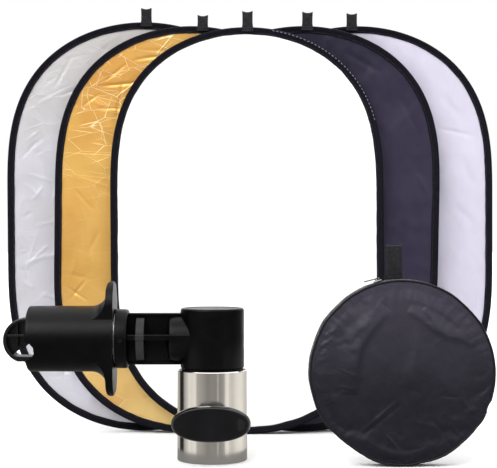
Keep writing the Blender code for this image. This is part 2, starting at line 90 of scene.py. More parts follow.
class Nodes:
    """Adds nodes to one node tree."""

    def __init__(self, tree):
        self.tree = tree

    def add(self, kind, inputs=(), **settings):
        """A node. Each input is a value, or the socket that it comes from."""
        node = self.tree.nodes.new(f"ShaderNode{kind}")
        for key, value in settings.items():
            setattr(node, key, value)
        for key, value in dict(inputs).items():
            self.feed(node.inputs[key], value)
        return node

    def feed(self, socket, value):
        if isinstance(value, bpy.types.NodeSocket):
            self.tree.links.new(value, socket)
        else:
            socket.default_value = value

    def span(self, value, low, high, to_low=0.0, to_high=1.0, **settings):
        inputs = {"Value": value, "From Min": low, "From Max": high, "To Min": to_low, "To Max": to_high}
        return self.add("MapRange", inputs, **settings).outputs["Result"]

    def math(self, operation, one, two):
        return self.add("Math", {0: one, 1: two}, operation=operation).outputs[0]


class Paint(Nodes):
    """A procedural material: one Principled shader, and nodes that read the piece's own coordinates."""

    def __init__(self, name, colour, roughness, **sockets):
        self.mat = bpy.data.materials.new(name)
        self.mat.use_nodes = True
        super().__init__(self.mat.node_tree)
        self.shader = self.tree.nodes["Principled BSDF"]
        self.shader.inputs["Base Color"].default_value = (*colour, 1.0)
        self.shader.inputs["Roughness"].default_value = roughness
        for socket, value in sockets.items():
            self.shader.inputs[socket.replace("_", " ")].default_value = value
        self.place = self.add("TexCoord").outputs["Object"]
        self.normal = None

    def axis(self, letter):
        return self.add("SeparateXYZ", {0: self.place}).outputs[letter]

    def stretched(self, scale, turn=(0, 0, 0), warp=0.0):
        """The piece's coordinates, scaled, and warped by noise if asked."""
        place = self.place
        if warp:
            wobble = self.add("TexNoise", {"Vector": place, "Scale": 6.0, "Detail": 2.0})
            push = {0: wobble.outputs["Color"], 1: (0.5, 0.5, 0.5)}
            push = self.add("VectorMath", push, operation="SUBTRACT")
            push = self.add("VectorMath", {0: push.outputs[0], "Scale": warp}, operation="SCALE")
            place = self.add("VectorMath", {0: place, 1: push.outputs[0]}).outputs[0]
        inputs = {"Vector": place, "Scale": scale, "Rotation": [math.radians(a) for a in turn]}
        return self.add("Mapping", inputs).outputs[0]

    def noise(self, scale, detail, rough=0.55, stretch=(1, 1, 1), warp=0.0):
        place = self.stretched(stretch, warp=warp)
        inputs = {"Vector": place, "Scale": scale, "Detail": detail, "Roughness": rough}
        return self.add("TexNoise", inputs).outputs["Fac"]

    def waves(self, scale, direction, distortion):
        inputs = {"Vector": self.place, "Scale": scale, "Distortion": distortion, "Detail": 1.0}
        return self.add("TexWave", inputs, bands_direction=direction).outputs["Fac"]

    def blend(self, share, one, two):
        """One colour or socket going over to another."""
        node = self.add("Mix", data_type="RGBA")
        self.feed(node.inputs[0], share)
        for index, value in ((6, one), (7, two)):
            self.feed(node.inputs[index], value if isinstance(value, bpy.types.NodeSocket) else (*value, 1.0))
        return node.outputs[2]

    def colour(self, value):
        self.feed(self.shader.inputs["Base Color"], value)

    def roughness(self, value):
        self.feed(self.shader.inputs["Roughness"], value)

    def bump(self, height, distance, strength=1.0):
        inputs = {"Height": height, "Distance": distance, "Strength": strength}
        if self.normal is not None:
            inputs["Normal"] = self.normal
        self.normal = self.add("Bump", inputs).outputs["Normal"]
        self.feed(self.shader.inputs["Normal"], self.normal)


def foil(name, dark, plain, light, painted_bottom_light, metal, crease, top=None):
    """Foil-coated cloth that has been twisted up many times: straight creases with flat facets between. Its colour
    holds painted light towards the bottom, painted lines along the creases and painted shade on some facets.
    """
    p = Paint(name, plain, 0.4, Metallic=metal)
    height = p.axis("Z")
    upper = p.span(height, 0.50, 0.80, 0.10, 1.0)
    # Painted light: the foil is coloured lighter towards the bottom.
    colour = p.blend(p.span(height, 0.34, 0.04), plain, painted_bottom_light)
    # Painted shade: top, if given, colours the upper part; the silver's is darker and warmer.
    if top:
        colour = p.blend(p.span(height, 0.58, 0.86), colour, top)
    patches = p.span(p.noise(6, 3, 0.55, (1, 1, 0.6), 0.1), 0.38, 0.62, 0.0, 0.42)
    colour = p.blend(patches, colour, dark)
    for scale, turn, stretch, width, depth in (
        (6.0, 62, 2.6, 0.008, 0.9), (9.0, -28, 2.2, 0.011, 0.8),
        (8.0, 12, 3.0, 0.010, 0.7), (17.0, -64, 1.8, 0.018, 0.5),
    ):
        place = p.stretched((scale, scale, scale * stretch), (0, turn, 0))
        inputs = {"Vector": place, "Scale": 1.0}
        edge = p.add("TexVoronoi", inputs, feature="DISTANCE_TO_EDGE").outputs["Distance"]
        facet = p.add("TexVoronoi", inputs).outputs["Color"]
        facet = p.span(p.add("SeparateColor", {0: facet}).outputs[0], 0.55, 1.0, 0.0, crease * 0.5)
        gate = p.span(p.noise(scale * 0.8, 2, 0.6), 0.45, 0.54)
        often = p.math("MAXIMUM", upper, p.span(p.noise(3.1, 1), 0.52, 0.60, 0.05, 0.55))
        gate = p.math("MULTIPLY", gate, often)
        # Painted shade: some facets are painted darker, more often high up.
        colour = p.blend(p.math("MULTIPLY", facet, gate), colour, dark)
        # Painted lines along the creases in the colour light: a painted highlight on the gold, a painted shade on the
        # silver. The same lines are raised as a bump.
        line = p.math("MULTIPLY", p.span(edge, width * 0.25, width, 1.0, 0.0), gate)
        colour = p.blend(p.math("MULTIPLY", line, crease * depth), colour, light)
        p.bump(line, 0.0007 * crease)
    p.bump(p.noise(26, 3, 0.5, (1, 1, 1.5), 0.05), 0.0006)
    p.bump(p.noise(900, 1), 0.00004)
    p.colour(colour)
    p.roughness(p.span(p.noise(24, 3), 0.3, 0.7, 0.34, 0.46))
    return p.mat


def nylon(name, plain, other, roughness, sheen=0.04, thread=1500, crease=0.0008, top=None, rise=(0.62, 0.88)):
    """Plain-woven nylon: fine threads, a little colour variation and soft creases."""
    p = Paint(name, plain, roughness, Sheen_Weight=sheen, Sheen_Roughness=0.4, Specular_IOR_Level=0.26)
    patches = p.span(p.noise(9, 4, 0.55, (1, 1, 0.6), 0.08), 0.3, 0.7)
    colour = p.blend(patches, plain, other)
    # Painted light and shade by height: top, if given, colours the cloth over the heights in rise. It is lighter on the
    # bag and darker on the black disc.
    if top:
        colour = p.blend(p.span(p.axis("Z"), *rise), colour, top)
    p.colour(colour)
    p.roughness(p.span(p.noise(60, 3), 0.3, 0.7, roughness - 0.08, roughness + 0.08))
    weave = p.math("ADD", p.waves(thread / TAU, "X", 0.3), p.waves(thread / TAU, "Z", 0.3))
    p.bump(weave, 0.00005, 0.6)
    p.bump(p.noise(38, 4, 0.55, (1, 1, 0.7), 0.05), crease)
    return p.mat


def webbing(name, plain, other, rib, direction="Z", rough=0.80, shine=0.14):
    """Narrow woven tape: ribs across it, coarse thread and a dusty worn nap."""
    p = Paint(name, plain, rough, Sheen_Weight=0.02, Sheen_Roughness=0.5, Specular_IOR_Level=shine)
    ribs = p.waves(rib / TAU, direction, 0.6)
    p.colour(p.blend(p.span(p.noise(160, 4), 0.35, 0.75), plain, other))
    p.bump(ribs, 0.0004, 0.9)
    p.bump(p.noise(1400, 2), 0.0001, 0.6)
    p.roughness(p.span(ribs, 0, 1, rough - 0.08, rough + 0.08))
    return p.mat


def moulding(name, plain, roughness, grain=0.00006, painted_highlight=None, **sockets):
    """Injection-moulded nylon: a fine spark-eroded grain, faint flow marks and rubbed patches."""
    p = Paint(name, plain, roughness, **sockets)
    rubbed = p.span(p.noise(26, 5, 0.6, (1, 1, 1), 0.05), 0.42, 0.8)
    colour = p.blend(rubbed, plain, [1.5 * c + 0.0012 for c in plain])
    # Painted highlight: if asked, a lighter band between two x values and in front of a y, standing in for light on the
    # arm's ring.
    if painted_highlight:
        x_from, x_to, y_front, highlight_tint = painted_highlight
        place = p.add("SeparateXYZ", {0: p.place}).outputs
        from_left = p.span(place["X"], x_from, x_from + 0.0006)
        highlight_mask = p.math("MULTIPLY", from_left, p.span(place["X"], x_to, x_to - 0.0006))
        highlight_mask = p.math("MULTIPLY", highlight_mask, p.span(place["Y"], y_front, y_front - 0.002))
        colour = p.blend(highlight_mask, colour, highlight_tint)
    p.colour(colour)
    p.roughness(p.span(p.noise(70, 4, 0.6), 0.3, 0.7, roughness - 0.05, roughness + 0.07))
    p.bump(p.noise(1300, 2, 0.6), grain, 0.8)
    p.bump(p.noise(12, 2, 0.5), 0.0006, 0.5)
    return p.mat


def metal(name, plain, roughness, stretch, grain=0.00002, **sockets):
    """Turned or drawn metal with a fine directional grain."""
    p = Paint(name, plain, roughness, Metallic=1.0, **sockets)
    lines = p.noise(60, 6, 0.7, stretch)
    p.colour(p.blend(p.span(p.noise(9, 3, 0.6), 0.3, 0.75), plain, [0.86 * c for c in plain]))
    p.roughness(p.span(lines, 0.25, 0.75, roughness * 0.75, roughness * 1.35))
    p.bump(lines, grain, 0.8)
    return p.mat


# Both foils are painted lighter towards the bottom (painted light). The silver is also painted darker and warmer at its
# top (painted shade).
GOLD = foil("gold_foil", (0.58, 0.26, 0.050), (0.72, 0.42, 0.105), (1.0, 0.87, 0.52), (0.92, 0.66, 0.26), 0.45, 0.95)
SILVER = foil(
    "silver_foil", (0.47, 0.445, 0.435), (0.590, 0.588, 0.650), (0.40, 0.39, 0.39), (0.70, 0.70, 0.78),
    0.30, 0.34, (0.500, 0.482, 0.478),
)
DIFFUSER = nylon("diffuser_cloth", (0.93, 0.93, 0.93), (0.90, 0.90, 0.91), 0.75, crease=0.0004)
# The black cloth is painted darker towards its top: painted shade.
BLACK = nylon("black_cloth", (0.029, 0.022, 0.049), (0.022, 0.017, 0.038), 0.46, top=(0.0125, 0.0098, 0.026))
WHITE = nylon("white_cloth", (0.515, 0.490, 0.580), (0.450, 0.430, 0.520), 0.60)
# The bag nylon is painted lighter towards its top: painted light.
BAG = nylon(
    "bag_nylon", (0.0085, 0.0072, 0.0135), (0.0052, 0.0045, 0.0085), 0.50, 0.03, 1100, 0.0010,
    top=(0.027, 0.0235, 0.038), rise=(0.14, 0.35),
)
BAND = nylon("bag_band_nylon", (0.0050, 0.0043, 0.0075), (0.0035, 0.0030, 0.0055), 0.55, 0.02, 1100, 0.0008)
WELT = nylon("welt_nylon", (0.0050, 0.0045, 0.0070), (0.0035, 0.0030, 0.0050), 0.60, 0.02, 1100, 0.0006)
FACES = {"diffuser": DIFFUSER, "gold": GOLD, "black": BLACK, "silver": SILVER, "white": WHITE}
BINDING = webbing("binding_tape", (0.0022, 0.0019, 0.0036), (0.0056, 0.0050, 0.0118), 900, "Z", 0.55, 0.08)
STRAP = webbing("loop_webbing", (0.009, 0.009, 0.011), (0.022, 0.022, 0.026), 700)
THREAD = webbing("sewing_thread", (0.030, 0.028, 0.040), (0.07, 0.07, 0.085), 3000)
# Pale thread for the stitches that stand for a painted highlight on the front disc's rim.
PAINTED_GLINT_THREAD = webbing("painted_glint_thread", (0.16, 0.15, 0.22), (0.30, 0.29, 0.38), 3000)
BLACK_NYLON = moulding("black_moulding", (0.0009, 0.0009, 0.0013), 0.34, Specular_IOR_Level=0.125)
# The arm's ring is painted lighter than the rest of the arm: a painted highlight.
ARM_NYLON = moulding(
    "arm_moulding_skin", (0.0008, 0.0008, 0.0012), 0.34,
    painted_highlight=(-0.2229, -0.2056, -0.1644, (0.023, 0.023, 0.024)), Specular_IOR_Level=0.105,
)
# The hook's copy of the moulding is glossier, and its lighter base colour is painted light.
HOOK_NYLON = moulding("hook_moulding_skin", (0.0022, 0.0022, 0.0027), 0.26, Specular_IOR_Level=0.42)
GLOSS = moulding(
    "gloss_moulding", (0.0009, 0.0010, 0.0018), 0.12, 0.00001,
    Specular_IOR_Level=0.06, Coat_Weight=0.72, Coat_Roughness=0.03,
)
STEEL = metal("brushed_steel", (0.80, 0.77, 0.72), 0.14, (1, 1, 40))
SPRING = metal("spring_steel", (0.52, 0.53, 0.55), 0.30, (1, 1, 1))
BRASS = metal("turned_brass", (0.78, 0.58, 0.28), 0.28, (1, 30, 1))
WHITE_NYLON = moulding("natural_nylon", (0.74, 0.73, 0.69), 0.45)
ZIP_TAPE = webbing("zip_tape", (0.0040, 0.0038, 0.0055), (0.0090, 0.0085, 0.0115), 1500)
DARK_STEEL = metal("blackened_steel", (0.030, 0.030, 0.033), 0.42, (1, 1, 1))
ZIP_METAL = metal("zip_metal", (0.30, 0.30, 0.32), 0.30, (1, 1, 1), 0.00003)


# ---------------------------------------------------------------- mesh helpers


def linked(name, data):
    """A new object in the scene."""
    obj = bpy.data.objects.new(name, data)
    bpy.context.scene.collection.objects.link(obj)
    return obj


def finished(name, mesh, mat, body, replaces, angle):
    """Puts a mesh in the scene as a piece of a CAD body, with edges over angle degrees kept sharp."""
    mesh.materials.clear()
    mesh.materials.append(mat)
    mesh.shade_smooth()
    if angle < 180:
        mesh.set_sharp_from_angle(angle=math.radians(angle))
    obj = linked(name, mesh)
    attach(obj, body)
    if replaces:
        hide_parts(*replaces)
    return obj


def dress(mat, *nodes):
    """Gives CAD nodes that stay as they are their material."""
    for node in nodes:
        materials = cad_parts[node].data.materials
        materials.clear()
        materials.append(mat)


def from_arrays(name, points, faces):
    mesh = bpy.data.meshes.new(name)
    mesh.from_pydata(np.asarray(points, float).tolist(), [], faces)
    mesh.update()
    return mesh


def grid_faces(rows, cols, wrap_rows=False, wrap_cols=False, start=0):
    faces = []
    for i in range(rows if wrap_rows else rows - 1):
        for j in range(cols if wrap_cols else cols - 1):
            a, b = (i + 1) % rows, (j + 1) % cols
            faces.append((start + i * cols + j, start + i * cols + b, start + a * cols + b, start + a * cols + j))
    return faces


def facing_out(mesh):
    bm = bmesh.new()
    bm.from_mesh(mesh)
    bmesh.ops.recalc_face_normals(bm, faces=bm.faces)
    bm.to_mesh(mesh)
    bm.free()
    return mesh


def mm(*values):
    """Lengths given in millimetres, in metres."""
    return tuple(mm(*value) if isinstance(value, tuple) else value / 1000 for value in values)


def loft(name, rings, closed=False):
    """A mesh through rings of points, with its ends filled or joined to each other."""
    rings = np.asarray(rings, float)
    count, size = rings.shape[:2]
    faces = grid_faces(count, size, wrap_rows=closed, wrap_cols=True)
    if not closed:
        faces.append(tuple(range(size)))
        faces.append(tuple((count - 1) * size + k for k in range(size)))
    return facing_out(from_arrays(name, rings.reshape(-1, 3), faces))


def placed(axis, u, v, along):
    if axis == "X":
        return (along, u, v)
    if axis == "Y":
        return (u, along, v)
    return (u, v, along)


def turned(profile, axis, centre=(0.0, 0.0), hollow=False, steps=96):
    """A body of revolution from (radius, along) points."""
    turns = [TAU * k / steps for k in range(steps)]
    u, v = centre
    rings = [
        [placed(axis, u + radius * math.cos(t), v + radius * math.sin(t), along) for t in turns]
        for radius, along in profile
    ]
    return loft("turned", rings, closed=hollow)


def prism(outline, axis, low, high):
    return loft("prism", [[placed(axis, u, v, along) for u, v in outline] for along in (low, high)])


def arc(radius, start, end, steps, centre):
    angles = [math.radians(start + (end - start) * k / steps) for k in range(steps + 1)]
    return [(centre[0] + radius * math.cos(a), centre[1] + radius * math.sin(a)) for a in angles]


def block(low, high):
    outline = [(low[0], low[2]), (high[0], low[2]), (high[0], high[2]), (low[0], high[2])]
    return prism(outline, "Y", low[1], high[1])


def helper(mesh, bevel=0.0):
    """A working object, with its sharp edges rounded if asked."""
    obj = linked("helper", mesh)
    if bevel:
        rounded = obj.modifiers.new("bevel", "BEVEL")
        rounded.width = bevel
        rounded.segments = 3
        rounded.limit_method = "ANGLE"
        rounded.angle_limit = math.radians(35)
        rounded.use_clamp_overlap = True
    return obj


def carved(base, steps, bevel=0.0):
    """base with (operation, mesh, bevel) steps joined to it, cut out of it or kept in it."""
    body = helper(base, bevel)
    used = [body]
    for operation, mesh, edge in steps:
        used.append(helper(mesh, edge))
        cut = body.modifiers.new("boolean", "BOOLEAN")
        cut.operation = operation
        cut.solver = "EXACT"
        cut.object = used[-1]
    bpy.context.view_layer.update()
    graph = bpy.context.evaluated_depsgraph_get()
    mesh = bpy.data.meshes.new_from_object(body.evaluated_get(graph))
    for obj in used:
        bpy.data.objects.remove(obj, do_unlink=True)
    return mesh


def merged(name, parts):
    """Several meshes as one."""
    points, faces = [], []
    for part in parts:
        start = len(points)
        points += [tuple(v.co) for v in part.vertices]
        faces += [tuple(start + i for i in poly.vertices) for poly in part.polygons]
    return from_arrays(name, points, faces)


def smooth_step(t):
    t = np.clip(t, 0, 1)
    return t * t * (3 - 2 * t)


def disc_grid(cols, rows):
    """A square grid pressed into a circle of radius 1: x, z and the distance from its middle."""
    s, t = np.meshgrid(np.linspace(-1, 1, cols), np.linspace(-1, 1, rows))
    x, z = s * np.sqrt(1 - t * t / 2), t * np.sqrt(1 - s * s / 2)
    return x, z, np.hypot(x, z)


def cloud(u, v, scale, seed, detail, stretch=(1.0, 1.0)):
    """Smooth noise over arrays of places, about -1 to 1."""
    out = np.empty(u.size)
    flat_u, flat_v = np.ravel(u) * scale * stretch[0], np.ravel(v) * scale * stretch[1]
    for k in range(u.size):
        out[k] = noise.fractal((flat_u[k], flat_v[k], seed), 1.0, 2.0, detail)
    return out.reshape(u.shape)


def ridges(u, v, lines):
    """Heights of folds along straight lines: (u0, v0, u1, v1, half width, height)."""
    total = np.zeros(u.shape)
    for u0, v0, u1, v1, wide, high in lines:
        du, dv = u1 - u0, v1 - v0
        length = math.hypot(du, dv)
        t = ((u - u0) * du + (v - v0) * dv) / length**2
        off = np.abs((u - u0) * dv - (v - v0) * du) / length
        ends = np.sin(np.clip(t, 0, 1) * math.pi) ** 0.7
        total += high * ends * np.exp(-((off / wide) ** 2))
    return total


def random_ridges(rng, count, half_u, half_v, long, wide, high):
    lines = []
    for _ in range(count):
        u, v = rng.uniform(-half_u, half_u), rng.uniform(-half_v, half_v)
        angle = rng.uniform(0, math.pi)
        reach = rng.uniform(*long) / 2
        du, dv = reach * math.cos(angle), reach * math.sin(angle)
        lines.append((u - du, v - dv, u + du, v + dv, rng.uniform(*wide), rng.choice((-1, 1)) * rng.uniform(*high)))
    return lines


def stitches(name, places, length, thick):
    """Small rounded stitches. Each place is (middle, direction along, direction out)."""
    points, faces = [], []
    shape = ((-0.5, 0.15), (-0.28, 0.9), (0.28, 0.9), (0.5, 0.15))
    for middle, along, out in places:
        middle, along, out = Vector(middle), Vector(along).normalized(), Vector(out).normalized()
        side = along.cross(out)
        start = len(points)
        for t, size in shape:
            for k in range(5):
                turn = math.pi * k / 4
                lift = out * (math.sin(turn) * thick * 0.5 * size)
                swing = side * (math.cos(turn) * thick * 0.5 * size)
                points.append(middle + along * (t * length) + lift + swing)
        faces += grid_faces(4, 5, wrap_cols=True, start=start)
        faces += [tuple(start + first + k for k in range(5)) for first in (0, 15)]
    return facing_out(from_arrays(name, [tuple(p) for p in points], faces))


# ---------------------------------------------------------------- discs


def oval(width, height, inset, count):
    """count evenly spaced (x, z) points round a disc's edge, inset from it, and their outward normals."""
    a, b = width / 2, height / 2 * END_SHARE
    straight = height / 2 - b
    turn = np.linspace(0, math.pi / 2, 1200)
    x, z = a * np.cos(turn), straight + b * np.sin(turn) ** (2 / END_POWER)
    x = np.concatenate([x, -x[::-1][1:], -x, x[::-1][1:]])
    z = np.concatenate([z, z[::-1][1:], -z, -z[::-1][1:]])
    keep = np.concatenate([[True], np.hypot(np.diff(x), np.diff(z)) > 1e-7])
    x, z = np.append(x[keep], x[0]), np.append(z[keep], z[0])
    run = np.concatenate([[0], np.cumsum(np.hypot(np.diff(x), np.diff(z)))])
    at = np.linspace(0, run[-1], count, endpoint=False)
    points = np.stack([np.interp(at, run, x), np.interp(at, run, z)], axis=1)
    along = np.roll(points, -1, axis=0) - np.roll(points, 1, axis=0)
    normals = np.stack([along[:, 1], -along[:, 0]], axis=1)
    normals /= np.linalg.norm(normals, axis=1)[:, None]
    return points - normals * inset, normals, run[-1]


class Leaning:
    """Takes a disc's own (x, y, z) to the row frame."""

    def __init__(self, name, lean):
        low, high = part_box(f"{name}_binding")
        self.middle = np.array((low + high) / 2)
        self.sine, self.cosine = math.sin(math.radians(lean)), math.cos(math.radians(lean))

    def __call__(self, points):
        points = np.asarray(points, float)
        x, y, z = points[..., 0], points[..., 1], points[..., 2]
        leaned = np.stack([x * self.cosine + z * self.sine, y, -x * self.sine + z * self.cosine], axis=-1)
        return leaned + self.middle


def round_grid(width, height, inset, cols, rows):
    """A grid of even squares fitted to a disc's outline: x, z and the distance in from the edge as a share."""
    x, z, share = disc_grid(cols, rows)
    edge, _, _ = oval(width, height, inset, 1440)
    a, b = width / 2, height / 2
    edge_turn = np.arctan2(edge[:, 1] / b, edge[:, 0] / a) % TAU
    order = np.argsort(edge_turn)
    reach = np.hypot(edge[:, 0], edge[:, 1])[order]
    tilt = np.arctan2(edge[:, 1], edge[:, 0])[order]
    turn = np.arctan2(z, x) % TAU
    far = np.interp(turn, edge_turn[order], reach, period=TAU)
    angle = np.interp(turn, edge_turn[order], np.unwrap(tilt))
    return share * far * np.cos(angle), share * far * np.sin(angle), share


# Creases that stay in each cloth: from x, z to x, z in the disc's own plane, half width, height, in millimetres
CREASES = {
    "gold": mm(
        (-207.5, 314.6, -117, 323.5, 3.2, 2.4), (-209.7, 266, -158.9, 266, 3, 1.8),
        (-194.3, 323.5, -143.5, 367.6, 3.2, 2), (-128, 374.2, -70.6, 383, 3.4, 2.4),
        (-114.8, 396.3, -55.2, 394.1, 3, 1.8), (-249.5, 266, -203.1, 299.1, 3, 1.6),
        (-280.4, -124.8, -225.2, -160.1, 3, 1.6), (-214.2, 38.6, -260.5, 89.4, 3, 1.4),
        (-268, -160, -230, -112, 3, 1.4), (-170, 230, -150, 340, 3.4, 1.8),
    ),
    "silver": mm(
        (-230, 360, -120, 390, 4, 1.6), (-260, 280, -210, 350, 4, 1.4),
        (-290, 140, -240, 190, 4, 1), (-200, 310, -150, 400, 4, 1.4),
    ),
    "white": mm(
        (179.7, 224.3, 276.4, 204, 4.5, 2.2), (235, 165, 260, 90, 10, 2.6),
        (220, 50, 275, 0, 9, 2.4), (190, 300, 230, 250, 8, 1.8),
    ),
    "black": mm(
        (210, 300, 260, 210, 8, 3), (270, 60, 288, -50, 6, 3),
        (80, 400, 170, 350, 7, 3), (250, 130, 285, 70, 6, -2.6),
    ),
}
FOILS = ("gold", "silver")
PUCKERS = {"diffuser": 0.0009, "gold": 0.0010, "black": 0.0036, "silver": 0.0012, "white": 0.0026}


def face_relief(name, x, z, share, width, height):
    """How far the stretched cloth stands out of its plane, in metres."""
    rng = random.Random(f"{name} folds")
    half_u, half_v = width / 2, height / 2
    inward = (1 - share) * width / 2
    fade = smooth_step(inward / 0.045)
    turn = np.arctan2(z / half_v, x / half_u)
    pucker = cloud(np.cos(turn) * 9, np.sin(turn) * 9, 1.0, 7.0, 2) * np.exp(-inward / 0.03)
    relief = PUCKERS[name] * pucker * smooth_step(inward / 0.012)
    relief += fade * ridges(x, z, CREASES.get(name, ()))
    if name in FOILS:
        much = 1.0 if name == "gold" else 0.85
        lines = random_ridges(rng, 80, half_u, half_v, (0.05, 0.20), (0.0028, 0.005), (0.0004, 0.0011))
        if name == "silver":
            lines += random_ridges(rng, 380, half_u, half_v, (0.02, 0.07), (0.0030, 0.0050), (0.0005, 0.0013))
        lines += random_ridges(rng, 20, half_u, half_v, (0.12, 0.35), (0.012, 0.03), (0.0008, 0.0018))
        relief += fade * much * (ridges(x, z, lines) + 0.0016 * cloud(x, z, 5, 3.0, 2))
    elif name == "black":
        relief += fade * (0.0060 * cloud(x, z, 5, 5.0, 2, (1.0, 0.5)) + 0.0030 * cloud(x, z, 17, 8.0, 3, (1.0, 0.6)))
    elif name == "white":
        relief += fade * (0.0050 * cloud(x, z, 5, 9.0, 2, (1.0, 0.5)) + 0.0024 * cloud(x, z, 16, 2.0, 3, (1.0, 0.7)))
    else:
        relief += fade * 0.0018 * cloud(x, z, 6, 11.0, 3, (1.0, 0.5))
    return relief


def build_face(name, width, height, place):
    cols, rows = (255, 379) if name in FOILS else (171, 251)
    x, z, share = round_grid(width, height, CLOTH_INSET, cols, rows)
    y = face_relief(name, x, z, share, width, height)
    points = place(np.stack([x, y, z], axis=-1)).reshape(-1, 3)
    mesh = from_arrays(f"{name}_cloth", points, grid_faces(rows, cols))
    nodes, slot = [f"{name}_face_cloth"], f"{name}_face"
    cloth = finished(f"{name}_cloth", mesh, FACES[name], f"{name}_disc", nodes, 180)


def stitch_row(width, height, inset, pitch):
    """Even places (x, z) along a disc's rim, inset from its edge, and the direction along it at each."""
    _, _, run = oval(width, height, inset, RIM_STEPS)
    row, _, _ = oval(width, height, inset, int(run / pitch))
    return zip(row, np.roll(row, -1, axis=0) - np.roll(row, 1, axis=0))


def build_binding(name, width, height, place, seed):
    """Folded tape over the hoop, with a lap where its ends meet and a row of stitches on each face."""
    body = f"{name}_disc"
    edge, normal, _ = oval(width, height, 0.0, RIM_STEPS)
    section = mm(
        (16, 1.3), (15.6, 1.8), (13.8, 1.8), (12, 2.1), (8.5, 2.6), (5.8, 3.4),
        (3.6, 3.9), (1.7, 3.6), (0.4, 2.4), (0, 0.9),
    )
    section += tuple((inset, -y) for inset, y in reversed(section)) + mm((14.6, -0.6), (14.6, 0.6))
    rings = []
    lap = int(RIM_STEPS * 0.71)
    for k in range(RIM_STEPS):
        s = k / RIM_STEPS * TAU
        wobble = noise.fractal((math.cos(s) * 11, math.sin(s) * 11, seed), 1.0, 2.0, 3)
        pucker = noise.fractal((math.cos(s) * 60, math.sin(s) * 60, seed + 9), 1.0, 2.0, 2)
        thick = 1 + 0.05 * wobble + 0.09 * pucker + (0.16 if lap <= k < lap + 8 else 0.0)
        ring = []
        for inset, y in section:
            inner = inset / RIM_WIDTH
            inset = inset * (1 + 0.05 * wobble + 0.02 * pucker) - 0.0003 * pucker * inner
            x, z = edge[k] - normal[k] * inset
            ring.append((x, y * thick, z))
        rings.append(place(ring))
    mesh = loft(f"{name}_binding_tape", rings, closed=True)
    finished(f"{name}_binding_tape", mesh, BINDING, body, [f"{name}_binding"], 50)
    places = []
    for (x, z), (along_x, along_z) in stitch_row(width, height, 0.0131, 0.0046):
        for side in (-1, 1):
            middle = place((x, side * 0.00205, z))
            ahead = place((x + along_x, side * 0.00205, z + along_z)) - middle
            places.append((middle, ahead, (0, side, 0)))
    mesh = stitches(f"{name}_stitching", places, 0.0036, 0.0009)
    finished(f"{name}_stitching", mesh, THREAD, body, (), 180)


def build_glint_stitches(width, height, place):
    """Pale stitches on the front disc's rim, only at the upper right: a painted highlight where light catches the
    stitching.
    """
    rng = random.Random("hem row")
    places = []
    for (x, z), (along_x, along_z) in stitch_row(width, height, 0.0034, 0.0090):
        if x < 0.055 or z < 0.235:
            continue
        tilt = rng.uniform(-0.35, 0.35)
        ahead = place((x + along_x, 0.0, z + along_z + tilt * abs(along_x))) - place((x, 0.0, z))
        places.append((place((x, -0.0041, z)), ahead, (0, -1, 0)))
    mesh = stitches("diffuser_glint_stitches", places, 0.0054, 0.0022)
    finished("diffuser_glint_stitches", mesh, PAINTED_GLINT_THREAD, "diffuser_disc", (), 180)


def build_strap(name, body, node, width, path, flare, dip, place):
    """A loop of flat woven tape: path is a list of (y, z) and the share of the way to its fold, 0 at both ends."""
    rings = []
    across = np.linspace(-1, 1, 13)
    for index, (y, z, share) in enumerate(path):
        before, after = path[max(index - 1, 0)], path[min(index + 1, len(path) - 1)]
        along = np.array([after[0] - before[0], after[1] - before[1]])
        along /= np.linalg.norm(along)
        out = np.array([-along[1], along[0]])
        half = width / 2 + flare * (1 - smooth_step(share / 0.35)) - 0.0006 * math.sin(share * math.pi)
        sag = dip * smooth_step((share - 0.72) / 0.28)
        ring = []
        for side in (1, -1):
            for u in across[::side]:
                worn = 0.45 * max(0.0, abs(u) - 0.82) / 0.18
                edge = 0.5 * STRAP_THICK * (1 - worn + 0.12 * (0.7 < abs(u) < 0.95))
                ring.append((u * half, y + side * out[0] * edge, z + side * out[1] * edge - sag * (1 - u * u)))
        rings.append(ring)
    mesh = loft(f"{name}_loop_strap", place(np.array(rings)))
    finished(f"{name}_loop_strap", mesh, STRAP, body, [node], 60)


def loop_path(gap, low, high):
    """Up one ply, round the fold and down the other."""
    middle = (gap + STRAP_THICK) / 2
    crown = high - middle - STRAP_THICK / 2
    path = [(-middle, low + (crown - low) * k / 9, 0.75 * k / 9) for k in range(9)]
    for y, z in arc(middle, 180, 0, 12, (0.0, crown)):
        path.append((y, z, 0.75 + 0.25 * (z - crown) / middle))
    path += [(middle, low + (crown - low) * k / 9, 0.75 * k / 9) for k in reversed(range(9))]
    return path


def build_loop(name, width, height, place, loop_x):
    """The hang loop, sewn over the top of the rim with a box of stitches on each side."""
    body = f"{name}_disc"
    low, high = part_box(f"{name}_hang_loop")
    b = height / 2 * END_SHARE
    rim_top = height / 2 - b + b * (1 - (2 * abs(loop_x) / width) ** 2) ** (1 / END_POWER)
    tall = (high.z - low.z) - (0.0068 if name == "silver" else 0.0092)
    path = loop_path(0.0084, rim_top - 0.010, rim_top + tall)
    build_strap(
        name, body, f"{name}_hang_loop", 0.0236, path, 0.0016, 0.0030, lambda rings: place(rings + (loop_x, 0, 0))
    )
    places = []
    for side in (-1, 1):
        for z in (rim_top - 0.0085, rim_top - 0.0015):
            for k in range(7):
                x = loop_x + 0.0085 * (k / 3 - 1)
                places.append((place((x, side * 0.0058, z)), (1, 0, 0.25 * (-1) ** k), (0, side, 0)))
    mesh = stitches(f"{name}_loop_tack", places, 0.0034, 0.0009)
    finished(f"{name}_loop_tack", mesh, THREAD, body, (), 180)


